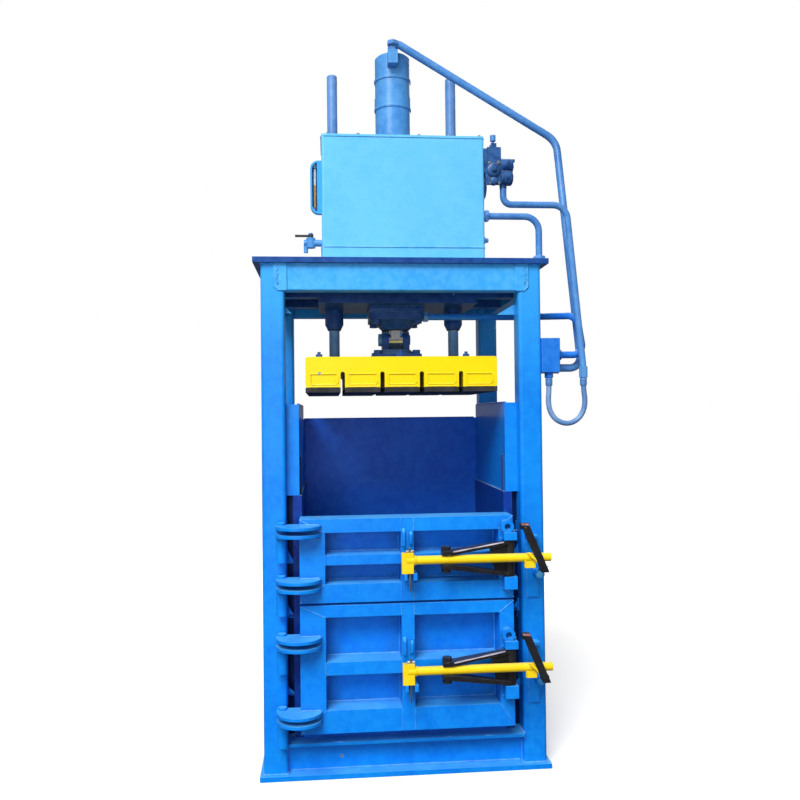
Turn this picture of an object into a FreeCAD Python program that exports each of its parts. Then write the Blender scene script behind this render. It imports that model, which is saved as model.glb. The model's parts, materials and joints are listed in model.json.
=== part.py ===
import FreeCAD, Part
import math
import os
import re
import Sketcher

# Upright recycling baler: welded post frame, chamber with two doors, slotted platen on a
# hydraulic cylinder, oil tank and pipework on the roof.  Origin: centre of the base plate's
# underside.  X to the right seen from the doors, Y away from the doors, Z up.  Millimetres.

VECTOR = FreeCAD.Vector

# Driving sizes, one cell each.
SIZES = {
    "frame_wide": 1150, "frame_deep": 990, "frame_high": 2068,
    "post_side": 96, "post_wall": 6, "post_round": 14,
    "base_side_lip": 15, "base_end_lip": 17, "base_thick": 20,
    "roof_side_lip": 30, "roof_end_lip": 20, "roof_thick": 22,
    "beam_high": 111, "beam_wide": 60, "beam_wall": 8,
    "corner_plate": 40, "corner_thick": 5,
    "sill_top": 146, "sill_wall": 12, "sill_lip": 18, "sill_recess": 39,
    "chamber_inset": 52, "chamber_setback": 52, "chamber_long": 666,
    "panel_top": 1497, "back_top": 1434, "step_high": 1126, "panel_wall": 8,
    "wall_inset": 9, "wall_thick": 10, "wall_lip": 36, "floor_thick": 20, "groove_deep": 10,
    "rail_wide": 60, "rail_high": 80,
    "slot_wide": 18, "slot_pitch": 164, "slot_high": 65,
    "platen_high": 127, "platen_wall": 12, "platen_side_gap": 28, "platen_gap": 3,
    "platen_rear_gap": 6, "platen_round": 12, "ram_drop": 340, "pad_thick": 20, "rib_wall": 8,
    "guide_round": 48, "guide_reach": 275, "guide_back": 60, "guide_proud": 15, "guide_collar": 14,
    "sleeve_round": 84, "sleeve_drop": 116, "sleeve_taper": 24, "cradle_plate": 24,
    "cradle_reach": 345, "cradle_front": 190, "cradle_rear": 130,
    "barrel_bore": 140, "barrel_wall": 10, "barrel_drop": 52, "barrel_long": 1095, "bore_end": 20,
    "flange_grip": 40, "flange_thick": 28, "flange_round": 30, "flange_bolt": 28,
    "cap_high": 77, "gland_plate": 34, "gland_cone": 38,
    "rod_round": 90, "piston_high": 80, "pin_round": 44, "pin_rise": 98,
    "foot_side": 220, "foot_thick": 28, "foot_cone": 24, "lug_thick": 30, "lug_clear": 9,
    "fit_gap": 0.06, "run_gap": 0.4,
    "tank_wide": 674, "tank_deep": 265, "tank_high": 514, "tank_shift": 11, "tank_setback": 20,
    "tank_wall": 4, "tank_skirt": 50, "lid_thick": 8, "tank_round": 10,
    "door_left_gap": 54, "door_right_gap": 51, "door_deep": 116, "door_gap": 3, "door_wall": 6,
    "door_plate": 8, "stile_left": 100, "stile_mid": 51, "stile_right": 58,
    "upper_low": 711, "upper_high": 1041, "lower_low": 200, "lower_high": 701,
    "port_ahead": 24, "port_high": 60,
    "hinge_out": 18.5, "hinge_ahead": 34, "barrel_round": 43, "hinge_pin": 24, "hinge_long": 148,
    "hinge_grip": 62, "arm_thick": 12, "arm_drop": 43, "arm_round": 90,
    "bar_round": 34, "bar_ahead": 65, "bar_left": 28, "bar_short": 11,
    "yoke_ahead": 25, "yoke_inset": 20, "yoke_pin": 22, "yoke_tube": 40, "apex_side": 146,
    "bolt_round": 20, "safety_round": 12, "safety_side": 4,
    "upper_latch": 882, "lower_latch": 452,
    "box_drop": 337, "box_wide": 80, "box_high": 142, "box_deep": 120, "tube_round": 22,
    "motor_round": 200, "motor_long": 330, "motor_high": 125, "motor_back": 290, "shaft_round": 28,
    "foot_plate": 14, "valve_back": 30, "valve_drop": 160,
    "pipe_cap": 34, "pipe_rod": 30, "pipe_valve": 28, "hose_round": 22,
}

# Places worked out from the driving sizes.
PLACES = {
    "front": "(0-frame_deep/2)",
    "back": "(frame_deep/2)",
    "post_in": "(frame_wide/2-post_side)",
    "base_wide": "(frame_wide+2*base_side_lip)",
    "base_deep": "(frame_deep+2*base_end_lip)",
    "roof_wide": "(frame_wide+2*roof_side_lip)",
    "roof_deep": "(frame_deep+2*roof_end_lip)",
    "beam_low": "(frame_high-beam_high)",
    "roof_top": "(frame_high+roof_thick)",
    "chamber_front": "(front+chamber_setback)",
    "chamber_back": "(chamber_front+chamber_long)",
    "ram_y": "(chamber_front+chamber_long/2)",
    "guide_y": "(ram_y+guide_back)",
    "panel_in": "(post_in-chamber_inset)",
    "wall_in": "(panel_in-wall_inset)",
    "barrel_out": "(barrel_bore/2+barrel_wall)",
    "barrel_low": "(beam_low-barrel_drop)",
    "barrel_top": "(barrel_low+barrel_long)",
    "bolt_ring": "(flange_side/2-flange_bolt)",
    "flange_side": "(2*(barrel_out+flange_grip))",
    "gland_low": "(barrel_low-gland_plate)",
    "sleeve_low": "(beam_low-sleeve_drop)",
    "guide_top": "(barrel_top+guide_proud)",
    "platen_rest": "(barrel_low-ram_drop)",
    "platen_wide": "(2*(panel_in-platen_side_gap))",
    "platen_front": "(chamber_front+platen_gap)",
    "platen_deep": "(chamber_long-platen_gap-platen_rear_gap)",
    "platen_top": "(platen_rest+platen_high)",
    "foot_top": "(platen_top+foot_thick)",
    "pin_high": "(platen_top+pin_rise)",
    "lug_in": "(pin_round/2+lug_clear)",
    "lug_out": "(lug_in+lug_thick)",
    "door_left": "(post_in-door_left_gap)",
    "door_right": "(post_in-door_right_gap)",
    "door_back": "(chamber_front-door_gap)",
    "door_front": "(door_back-door_deep)",
    "hinge_x": "(0-post_in-hinge_out)",
    "hinge_y": "(front-hinge_ahead)",
    "bar_y": "(door_front-bar_ahead)",
    "bar_right": "(frame_wide/2-bar_short)",
    "yoke_side": "(door_right-yoke_inset)",
    "yoke_y": "(door_front-yoke_ahead)",
    "tank_front": "(front+tank_setback)",
    "tank_left": "(tank_shift-tank_wide/2)",
    "tank_right": "(tank_shift+tank_wide/2)",
    "tank_top": "(roof_top+tank_high)",
    "valve_y": "(tank_front+valve_back)",
    "valve_low": "(tank_top-valve_drop)",
    "motor_y": "(ram_y+motor_back)",
    "motor_axis": "(roof_top+motor_high)",
    "box_right": "(frame_wide/2+box_wide)",
    "box_low": "(beam_low-box_drop)",
}

# Middle heights of the side ribs, and the slots' places in slot pitches from the middle.
RIB_LEVELS = ("sill_top+170", "sill_top+490", "sill_top+810")
SLOT_STEPS = (-1.5, -0.5, 0.5, 1.5)

doc = FreeCAD.newDocument("Baler")
sheet = doc.addObject("Spreadsheet::Sheet", "Size")
for row, (alias, number) in enumerate(SIZES.items(), start=1):
    sheet.set(f"A{row}", alias)
    sheet.set(f"B{row}", str(number))
    sheet.setAlias(f"B{row}", alias)
doc.recompute()

NODES = {}
serial = [0]


def bound(text):
    """Write an expression of size and place names as one that reads the sheet."""
    def swap(found):
        word = found.group(0)
        if word in PLACES:
            return bound(PLACES[word])
        return "Size." + word if word in SIZES else word
    return re.sub(r"[a-z_]+", swap, str(text))


def value(text):
    """Number that an expression of size and place names has now."""
    return float(sheet.evalExpression(bound(text)))


def fresh(kind, hint):
    """New document object with a numbered internal name."""
    serial[0] += 1
    return doc.addObject(kind, f"{hint}_{serial[0]}")


def place(thing, corner):
    """Bind an object's place to three expressions."""
    for axis, text in zip("xyz", corner):
        thing.setExpression(f"Placement.Base.{axis}", bound(text))
    return thing


def node(label, thing):
    """Register a finished sub-part under its own label."""
    thing.Label = label
    NODES[label] = thing
    return thing


def box(corner, size):
    """Block from its lowest corner and its three lengths."""
    block = fresh("Part::Box", "block")
    for name, text in zip(("Length", "Width", "Height"), size):
        block.setExpression(name, bound(text))
    return place(block, corner)


TURNS = {
    "Z": FreeCAD.Rotation(),
    "X": FreeCAD.Rotation(VECTOR(0, 1, 0), 90),
    "Y": FreeCAD.Rotation(VECTOR(1, 0, 0), -90),
}


def rod(start, radius, length, axis="Z"):
    """Cylinder from the centre of its first end along an axis."""
    bar = fresh("Part::Cylinder", "rod")
    bar.Placement = FreeCAD.Placement(VECTOR(), TURNS[axis])
    bar.setExpression("Radius", bound(radius))
    bar.setExpression("Height", bound(length))
    return place(bar, start)


def cone(start, first, second, length, axis="Z"):
    """Frustum from the centre of its first end along an axis."""
    taper = fresh("Part::Cone", "cone")
    taper.Placement = FreeCAD.Placement(VECTOR(), TURNS[axis])
    taper.setExpression("Radius1", bound(first))
    taper.setExpression("Radius2", bound(second))
    taper.setExpression("Height", bound(length))
    return place(taper, start)


def hexagon(start, across, length, axis="Z"):
    """Hexagonal bolt head or nut."""
    head = fresh("Part::Prism", "hexagon")
    head.Polygon = 6
    head.Placement = FreeCAD.Placement(VECTOR(), TURNS[axis])
    head.setExpression("Circumradius", bound(f"({across})/1.732"))
    head.setExpression("Height", bound(length))
    return place(head, start)


def fuse(*parts):
    """One solid from overlapping or touching parts."""
    if len(parts) == 1:
        return parts[0]
    joined = fresh("Part::MultiFuse", "fuse")
    joined.Shapes = list(parts)
    joined.Refine = True
    return joined


def cut(body, *tools):
    """Body less its tools."""
    left = fresh("Part::Cut", "cut")
    left.Base = body
    left.Tool = fuse(*tools)
    return left


def group(*parts):
    """Separate solids kept in one sub-part."""
    bunch = fresh("Part::Compound", "group")
    bunch.Links = list(parts)
    return bunch


def rounded(thing, radius, direction, keep=lambda centre: True):
    """Fillet the straight edges that run along a direction."""
    doc.recompute()
    along = VECTOR(*direction)
    chosen = []
    for index, edge in enumerate(thing.Shape.Edges, start=1):
        if edge.Curve.TypeId != "Part::GeomLine":
            continue
        run = edge.Vertexes[-1].Point.sub(edge.Vertexes[0].Point)
        if run.Length > 0 and abs(run.normalize().dot(along)) > 0.999 and keep(edge.CenterOfMass):
            chosen.append((index, value(radius), value(radius)))
    soft = fresh("Part::Fillet", "fillet")
    soft.Base = thing
    soft.Edges = chosen
    return soft


PLANES = {"XY": "XY_Plane", "XZ": "XZ_Plane", "YZ": "YZ_Plane"}


def extrusion(plane, outlines, length, corner=("0", "0", "0")):
    """Body padded from closed outlines of bound points: +Z from XY, -Y from XZ, +X from YZ."""
    body = fresh("PartDesign::Body", "body")
    sketch = body.newObject("Sketcher::SketchObject", body.Name + "_sketch")
    base = [item for item in body.Origin.OriginFeatures if item.Role == PLANES[plane]][0]
    sketch.AttachmentSupport = [(base, "")]
    sketch.MapMode = "FlatFace"
    first = 0
    for outline in outlines:
        spots = [VECTOR(value(across), value(up), 0) for across, up in outline]
        count = len(spots)
        for step in range(count):
            sketch.addGeometry(Part.LineSegment(spots[step], spots[(step + 1) % count]))
        for step, (across, up) in enumerate(outline):
            line = first + step
            after = first + (step + 1) % count
            sketch.addConstraint(Sketcher.Constraint("Coincident", line, 2, after, 1))
            for kind, text, number in (("DistanceX", across, spots[step].x),
                                       ("DistanceY", up, spots[step].y)):
                index = sketch.addConstraint(Sketcher.Constraint(kind, -1, 1, line, 1, number))
                sketch.setExpression(f"Constraints[{index}]", bound(text))
        first += count
    pad = body.newObject("PartDesign::Pad", body.Name + "_pad")
    pad.Profile = sketch
    pad.setExpression("Length", bound(length))
    return place(body, corner)


def rectangle(left, low, right, high):
    """Outline of four bound points."""
    return [(left, low), (right, low), (right, high), (left, high)]


def bent_tube(points, radius, bends):
    """Solid tube along straight runs joined by tangent arcs, and the length of its path."""
    spots = [VECTOR(*point) for point in points]
    edges = []
    here = spots[0]
    for before, corner, after, bend in zip(spots, spots[1:], spots[2:], bends):
        entry = before.sub(corner).normalize()
        leave = after.sub(corner).normalize()
        turn = math.pi - math.acos(max(-1.0, min(1.0, entry.dot(leave))))
        reach = bend * math.tan(turn / 2)
        start = corner.add(entry * reach)
        end = corner.add(leave * reach)
        inward = entry.add(leave).normalize()
        middle = corner.add(inward * (bend / math.cos(turn / 2) - bend))
        edges.append(Part.LineSegment(here, start).toShape())
        edges.append(Part.Arc(start, middle, end).toShape())
        here = end
    edges.append(Part.LineSegment(here, spots[-1]).toShape())
    path = Part.Wire(edges)
    ring = Part.Circle(spots[0], spots[1].sub(spots[0]), radius).toShape()
    return path.makePipeShell([Part.Wire([ring])], True, False), path.Length


def shaped(shape):
    """Plain feature holding a shape that no primitive or sketch makes."""
    holder = fresh("Part::Feature", "shape")
    holder.Shape = shape
    return holder


SIDES = {"left": -1, "right": 1}


def span(side, near, far):
    """Lowest X and length of a stretch given as distances from the middle plane."""
    length = f"({far})-({near})"
    return (f"0-({far})", length) if side < 0 else (near, length)


def channel(corner, size, axis):
    """Square tube of the beams' wall, open at both ends of one axis."""
    inner_corner = [f"({text})+beam_wall" for text in corner]
    inner_size = [f"({text})-2*beam_wall" for text in size]
    inner_corner[axis] = f"({corner[axis]})-1"
    inner_size[axis] = f"({size[axis]})+2"
    return cut(box(corner, size), box(inner_corner, inner_size))


def base_and_posts():
    """Base plate, four hollow posts, sill and base channels."""
    node("base_plate", box(("0-base_wide/2", "0-base_deep/2", "0"), ("base_wide", "base_deep", "base_thick")))
    for depth, near in (("front", "front"), ("rear", "back-post_side")):
        for name, side in SIDES.items():
            left, _ = span(side, "post_in", "frame_wide/2")
            outer = rectangle("0", "0", "post_side", "post_side")
            inner = rectangle("post_wall", "post_wall", "post_side-post_wall", "post_side-post_wall")
            tube = extrusion("XY", [outer, inner], "frame_high-base_thick", (left, near, "base_thick"))
            middle = VECTOR(value(left) + value("post_side/2"), value(near) + value("post_side/2"), 0)
            reach = value("post_side/2-post_wall/2")

            def corner_edge(spot, middle=middle, reach=reach):
                return min(abs(spot.x - middle.x), abs(spot.y - middle.y)) > reach
            node(f"{depth}_{name}_post", rounded(tube, "post_round", (0, 0, 1), corner_edge))

    web = "front+sill_recess"
    profile = [("front-sill_lip", "sill_top-sill_wall"), (web, "sill_top-sill_wall"), (web, "base_thick"),
               (web + "+sill_wall", "base_thick"), (web + "+sill_wall", "sill_top-sill_wall"),
               ("front+post_side", "sill_top-sill_wall"), ("front+post_side", "sill_top"),
               ("front-sill_lip", "sill_top")]
    node("front_sill", extrusion("YZ", [profile], "2*post_in", ("0-post_in", "0", "0")))

    high = "sill_top-base_thick"
    parts = [channel(("0-post_in", "back-post_side/2-beam_wide/2", "base_thick"),
                     ("2*post_in", "beam_wide", high), 0)]
    for side in SIDES.values():
        left, wide = span(side, "post_in+post_side/2-beam_wide/2", "post_in+post_side/2+beam_wide/2")
        parts.append(channel((left, "front+post_side", "base_thick"),
                             (wide, "frame_deep-2*post_side", high), 1))
    for share in ("chamber_front+chamber_long/3", "chamber_back-beam_wide"):
        parts.append(channel(("0-post_in-post_side/2+beam_wide/2", share, "base_thick"),
                             ("2*post_in+post_side-beam_wide", "beam_wide", high), 0))
    node("base_channels", group(*parts))

    rails = []
    for side in SIDES.values():
        for high in RIB_LEVELS:
            left, wide = span(side, "post_in", "post_in+rail_wide")
            rails.append(channel((left, "front+post_side", f"{high}-rail_high/2"),
                                 (wide, "frame_deep-2*post_side", "rail_high"), 1))
    node("side_rails", group(*rails))


def top_frame():
    """Roof plate, top beams and the cradle that hangs the cylinder."""
    roof = box(("0-roof_wide/2", "0-roof_deep/2", "frame_high"), ("roof_wide", "roof_deep", "roof_thick"))
    holes = [rod(("0", "ram_y", "frame_high-1"), "barrel_out+4", "roof_thick+2")]
    for side in SIDES.values():
        holes.append(rod((f"{side}*guide_reach", "guide_y", "frame_high-1"), "guide_round/2+8",
                         "roof_thick+2"))
    node("roof_plate", cut(roof, *holes))

    profile = [("front", "beam_low"), ("front+beam_wide", "beam_low"),
               ("front+beam_wide", "beam_low+beam_wall"), ("front+beam_wall", "beam_low+beam_wall"),
               ("front+beam_wall", "frame_high-beam_wall"), ("front+beam_wide", "frame_high-beam_wall"),
               ("front+beam_wide", "frame_high"), ("front", "frame_high")]
    beam = extrusion("YZ", [profile], "2*post_in", ("0-post_in", "0", "0"))
    beam = rounded(beam, "beam_wall*0.8", (1, 0, 0),
                   lambda spot: spot.y < value("front") + 1 and spot.z < value("beam_low") + 1)
    plates = [beam]
    for side in SIDES.values():
        outer = "corner_plate"
        outline = [("0-8", "beam_low+2"), (outer + "-14", "beam_low+2"), (outer, "beam_low+16"),
                   (outer, "frame_high"), ("0-8", "frame_high")]
        turned = [(f"{side}*(post_in+({across}))", up) for across, up in outline]
        if side < 0:
            turned.reverse()
        plates.append(extrusion("XZ", [turned], "corner_thick", ("0", "front", "0")))
    node("front_top_beam", fuse(*plates))

    parts = [channel(("0-post_in", "back-beam_wide", "beam_low"), ("2*post_in", "beam_wide", "beam_high"), 0)]
    for side in SIDES.values():
        left, wide = span(side, "frame_wide/2-beam_wide", "frame_wide/2")
        parts.append(channel((left, "front+post_side", "beam_low"),
                            (wide, "frame_deep-2*post_side", "beam_high"), 1))
    node("top_channels", group(*parts))

    members = []
    reach = "frame_wide/2-beam_wide"
    for near in ("ram_y-cradle_front", "ram_y+cradle_rear"):
        members.append(channel((f"0-({reach})", near, "beam_low"),
                               (f"2*({reach})", "beam_wide", "beam_high"), 0))
    plate = box(("0-cradle_reach", "ram_y-cradle_front", "beam_low-cradle_plate"),
                ("2*cradle_reach", "cradle_front+cradle_rear+beam_wide", "cradle_plate"))
    holes = [rod(("0", "ram_y", "beam_low-cradle_plate-1"), "barrel_out+1", "cradle_plate+2")]
    for side in SIDES.values():
        holes.append(rod((f"{side}*guide_reach", "guide_y", "beam_low-cradle_plate-1"),
                         "sleeve_round/2+0.5", "cradle_plate+2"))
    members.append(cut(plate, *holes))
    node("cylinder_cradle", fuse(*members))

    sleeves = []
    for side in SIDES.values():
        spot = (f"{side}*guide_reach", "guide_y")
        tube = fuse(cone((*spot, "sleeve_low"), "sleeve_round/2-sleeve_taper/2", "sleeve_round/2",
                         "sleeve_taper"),
                    rod((*spot, "sleeve_low+sleeve_taper"), "sleeve_round/2",
                        "beam_low-sleeve_low-sleeve_taper+60"),
                    rod((*spot, "beam_low"), "sleeve_round/2+14", "12"))
        bore = rod((*spot, "sleeve_low-1"), "guide_round/2+fit_gap", "beam_low-sleeve_low+100")
        sleeves.append(cut(tube, bore))
    node("guide_sleeves", group(*sleeves))


def chamber():
    """Floor, walls and panels around the bale."""
    slots = []
    floor = box(("0-wall_in", "chamber_front", "sill_top"), ("2*wall_in", "chamber_long", "floor_thick"))
    for step in SLOT_STEPS:
        slots.append(box((f"{step}*slot_pitch-slot_wide/2", "chamber_front-1",
                          "sill_top+floor_thick-groove_deep"),
                         ("slot_wide", "chamber_long+2", "groove_deep+1")))
    node("chamber_floor", cut(floor, *slots))

    wall = [box(("0-panel_in", "chamber_back", "sill_top"),
                ("2*panel_in", "panel_wall", "back_top-sill_top"))]
    rib_long = "back-post_side-chamber_back-panel_wall"
    for level in RIB_LEVELS:
        for rise in ("0", "rail_high-panel_wall"):
            wall.append(box(("0-post_in", "chamber_back+panel_wall", f"{level}-rail_high/2+{rise}"),
                            ("2*post_in", rib_long, "panel_wall")))
        wall.append(box(("0-post_in", "back-post_side-panel_wall", f"{level}-rail_high/2"),
                        ("2*post_in", "panel_wall", "rail_high")))
    node("back_wall", fuse(*wall))

    for name, side in SIDES.items():
        left, wide = span(side, "wall_in", "wall_in+wall_thick")
        parts = [box((left, "chamber_front", "sill_top"), (wide, "chamber_long", "step_high-sill_top"))]
        left, wide = span(side, "wall_in", "wall_in+wall_lip")
        parts.append(box((left, "chamber_front", "sill_top"), (wide, "wall_thick", "step_high-sill_top")))
        left, wide = span(side, "wall_in+wall_thick", "post_in")
        for level in RIB_LEVELS:
            parts.append(box((left, "chamber_front+wall_thick", f"{level}-wall_thick/2"),
                             (wide, "chamber_long-wall_thick", "wall_thick")))
        node(f"{name}_lower_wall", fuse(*parts))

        left, wide = span(side, "panel_in", "panel_in+panel_wall")
        high = "panel_top-step_high"
        parts = [box((left, "chamber_front", "step_high"), (wide, "chamber_long+panel_wall", high))]
        left, wide = span(side, "panel_in", "post_in")
        parts.append(box((left, "chamber_front", "step_high"), (wide, "panel_wall", high)))
        parts.append(box((left, "chamber_back", "step_high"), (wide, "panel_wall", high)))
        node(f"{name}_upper_panel", fuse(*parts))


def ram():
    """Platen with its pads, guide rods, rod foot, pin, piston rod and piston."""
    bulk = box(("0-platen_wide/2", "platen_front", "platen_rest"),
               ("platen_wide", "platen_deep", "platen_high"))
    bulk = rounded(bulk, "platen_round", (0, 1, 0))
    tools = []
    for step in SLOT_STEPS:
        low = ("platen_front-1", "platen_rest-1")
        tools.append(box((f"{step}*slot_pitch-slot_wide/2", *low),
                         ("slot_wide", "platen_deep+2", "slot_high-slot_wide/2+1")))
        tools.append(rod((f"{step}*slot_pitch", "platen_front-1", "platen_rest+slot_high-slot_wide/2"),
                         "slot_wide/2", "platen_deep+2", "Y"))
    edges = [f"{step}*slot_pitch" for step in SLOT_STEPS]
    lefts = ["0-platen_wide/2+platen_wall"] + [f"{edge}+slot_wide/2+rib_wall" for edge in edges]
    rights = [f"{edge}-slot_wide/2-rib_wall" for edge in edges] + ["platen_wide/2-platen_wall"]
    for left, right in zip(lefts, rights):
        tools.append(box((left, "platen_front+platen_wall", "platen_rest-1"),
                         (f"({right})-({left})", "platen_deep-2*platen_wall", "platen_high-platen_wall+1")))
        inset = "rib_wall+4"
        tools.append(box((f"({left})+{inset}", "platen_front-1", "platen_rest+10"),
                         (f"({right})-({left})-2*({inset})", "3", "slot_high-20")))
    node("platen", cut(bulk, *tools))

    pads = []
    lefts = ["0-platen_wide/2"] + [f"{edge}+slot_wide/2" for edge in edges]
    rights = [f"{edge}-slot_wide/2" for edge in edges] + ["platen_wide/2"]
    for left, right in zip(lefts, rights):
        pad = box((left, "platen_front", "platen_rest-pad_thick"),
                  (f"({right})-({left})", "platen_deep", "pad_thick"))
        pads.append(pad)
    node("platen_pads", group(*pads))

    rods = []
    for side in SIDES.values():
        spot = (f"{side}*guide_reach", "guide_y")
        rods.append(fuse(rod((*spot, "platen_top"), "guide_round/2", "guide_top-platen_top-4"),
                         cone((*spot, "guide_top-4"), "guide_round/2", "guide_round/2-4", "4"),
                         rod((*spot, "platen_top"), "guide_round/2+22", "guide_collar")))
    node("guide_rods", group(*rods))

    foot = [rounded(box(("0-foot_side/2", "ram_y-foot_side/2", "platen_top"),
                        ("foot_side", "foot_side", "foot_thick")), "18", (0, 0, 1)),
            cone(("0", "ram_y", "foot_top"), "96", "70", "foot_cone")]
    for side in SIDES.values():
        left, wide = span(side, "lug_in", "lug_out")
        foot.append(box((left, "ram_y-40", "foot_top"), (wide, "80", "pin_high-foot_top")))
        foot.append(rod((left, "ram_y", "pin_high"), "40", wide, "X"))
    foot = cut(fuse(*foot),
               rod(("0-lug_out-10", "ram_y", "pin_high"), "pin_round/2+fit_gap", "2*lug_out+20", "X"),
               rod(("0-lug_in", "ram_y", "pin_high"), "44", "2*lug_in", "X"))
    node("rod_foot", foot)
    node("rod_pin", fuse(rod(("0-lug_out-6", "ram_y", "pin_high"), "pin_round/2", "2*lug_out+12", "X"),
                         rod(("0-lug_out-16", "ram_y", "pin_high"), "pin_round/2+6", "15.5", "X")))

    rest = "barrel_top-bore_end-piston_high"
    shank = fuse(rod(("0", "ram_y", "pin_high"), "rod_round/2", f"{rest}-pin_high"),
                 rod(("0-lug_in+run_gap", "ram_y", "pin_high"), "42", "2*lug_in-2*run_gap", "X"))
    sides = [box((f"{side}*(lug_in-run_gap)-(1-{side})*30", "ram_y-60", "pin_high-60"),
                 ("60", "120", "102")) for side in SIDES.values()]
    shank = cut(shank, rod(("0-lug_out", "ram_y", "pin_high"), "pin_round/2+fit_gap", "2*lug_out", "X"),
                *sides)
    node("piston_rod", shank)
    node("piston", rod(("0", "ram_y", rest), "barrel_bore/2-fit_gap", "piston_high"))

    bolts = []
    for across in (-1, 1):
        for along in (-1, 1):
            bolts.append(hexagon((f"{across}*(foot_side/2-24)", f"ram_y+{along}*(foot_side/2-24)", "foot_top"),
                                 "30", "18"))
    for across, ahead in (("0-343", "60"), ("278", "60"), ("0-4", "20")):
        bolts.append(fuse(hexagon((across, f"platen_front+{ahead}", "platen_top"), "24", "14"),
                          rod((across, f"platen_front+{ahead}", "platen_top+14"), "7", "10")))
    node("platen_bolts", group(*bolts))


def cylinder():
    """Barrel with its flange, top cap, gland head and the bolts of the fixed side."""
    half = "flange_side/2"
    flange = box((f"0-{half}", f"ram_y-{half}", "barrel_low"), ("flange_side", "flange_side", "flange_thick"))
    flange = rounded(flange, "flange_round", (0, 0, 1))
    tube = fuse(rod(("0", "ram_y", "barrel_low"), "barrel_out", "barrel_top-barrel_low"), flange,
                rod(("0", "ram_y", "barrel_top-160"), "barrel_out+3", "48"))
    bore = rod(("0", "ram_y", "barrel_low-1"), "barrel_bore/2", "barrel_top-barrel_low+2")
    node("cylinder_barrel", cut(tube, bore))

    cap = fuse(rod(("0", "ram_y", "barrel_top"), "barrel_out", "cap_high-8"),
               cone(("0", "ram_y", "barrel_top+cap_high-8"), "barrel_out", "barrel_out-8", "8"),
               box(("0-29", "ram_y-barrel_out-port_ahead-20", "barrel_top+8"), ("44", "barrel_out", "port_high")))
    node("cylinder_cap", cap)

    plate = box((f"0-{half}", f"ram_y-{half}", "gland_low"),
                ("flange_side", "flange_side", "gland_plate"))
    plate = rounded(plate, "flange_round", (0, 0, 1))
    head = fuse(plate, cone(("0", "ram_y", "gland_low-gland_cone"), "rod_round/2+18",
                            f"{half}-20", "gland_cone"))
    bore = rod(("0", "ram_y", "gland_low-gland_cone-1"), "rod_round/2+fit_gap",
               "gland_plate+gland_cone+2")
    node("cylinder_gland", cut(head, bore))

    bolts = []
    for across in (-1, 1):
        for along in (-1, 1):
            spot = (f"{across}*bolt_ring", f"ram_y+{along}*bolt_ring")
            bolts.append(hexagon((*spot, "gland_low-16"), "34", "16"))
            bolts.append(hexagon((*spot, "beam_low"), "34", "18"))
    for rise in ("0", "20"):
        bolts.append(hexagon(("tank_right+124", f"tank_front+{rise}+20", f"tank_top-94-{rise}"), "13", "9", "X"))
    for across in ("80", "250"):
        for along in ("0-90", "90"):
            bolts.append(hexagon((across, f"motor_y+{along}", "roof_top+foot_plate"), "19", "10"))
    node("frame_bolts", group(*bolts))


def oil_tank():
    """Tank, lid, filler cap, level gauge and drain tap."""
    outer = box(("tank_left", "tank_front", "roof_top"), ("tank_wide", "tank_deep", "tank_high-lid_thick"))
    outer = rounded(outer, "tank_round", (0, 0, 1))
    inside = ("tank_wide-2*tank_wall", "tank_deep-2*tank_wall")
    oil = box(("tank_left+tank_wall", "tank_front+tank_wall", "roof_top+tank_skirt"), (*inside, "tank_high"))
    under = box(("tank_left+tank_wall", "tank_front+tank_wall", "roof_top-1"),
                (*inside, "tank_skirt+1-tank_wall"))
    node("tank", cut(outer, oil, under))
    lid = box(("tank_left", "tank_front", "tank_top-lid_thick"), ("tank_wide", "tank_deep", "lid_thick"))
    node("tank_lid", rounded(lid, "tank_round", (0, 0, 1)))
    spot = ("tank_left+120", "tank_front+tank_deep-70")
    node("filler_cap", fuse(rod((*spot, "tank_top"), "30", "16"), rod((*spot, "tank_top+16"), "38", "26")))

    low = "roof_top+190"
    guard = box(("tank_left-46", "tank_front+26", low), ("46+1", "26", "220"))
    guard = rounded(guard, "34", (0, 1, 0), lambda spot: spot.x < value("tank_left-20"))
    inner = box(("tank_left-38", "tank_front+25", f"{low}+8"), ("60", "28", "204"))
    inner = rounded(inner, "26", (0, 1, 0), lambda spot: spot.x < value("tank_left-20"))
    hoop = cut(guard, inner, box(("tank_left", "tank_front+20", low), ("10", "40", "230")))
    strip = box(("tank_left-18", "tank_front+26", f"{low}+7"), ("18", "26", "206"))
    node("level_gauge", fuse(hoop, strip))

    tap_y = "tank_front+35"
    tap_z = "roof_top+70"
    body = fuse(rod(("tank_left-74", tap_y, tap_z), "14", "74", "X"),
                rod(("tank_left-46", tap_y, f"{tap_z}-20"), "19", "40"),
                rod(("tank_left-66", tap_y, f"{tap_z}-40"), "9", "40"),
                rod(("tank_left-46", tap_y, f"{tap_z}+20"), "5", "20"),
                rod(("tank_left-46", tap_y, f"{tap_z}+36.4"), "8", "5"))
    node("drain_tap", body)
    handle = fuse(rod(("tank_left-46", tap_y, f"{tap_z}+24"), "11", "12"),
                  box(("tank_left-110", f"{tap_y}-8", f"{tap_z}+26"), ("64", "16", "7")))
    node("drain_handle", cut(handle, rod(("tank_left-46", tap_y, f"{tap_z}+20"), "5+fit_gap", "30")))


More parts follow.
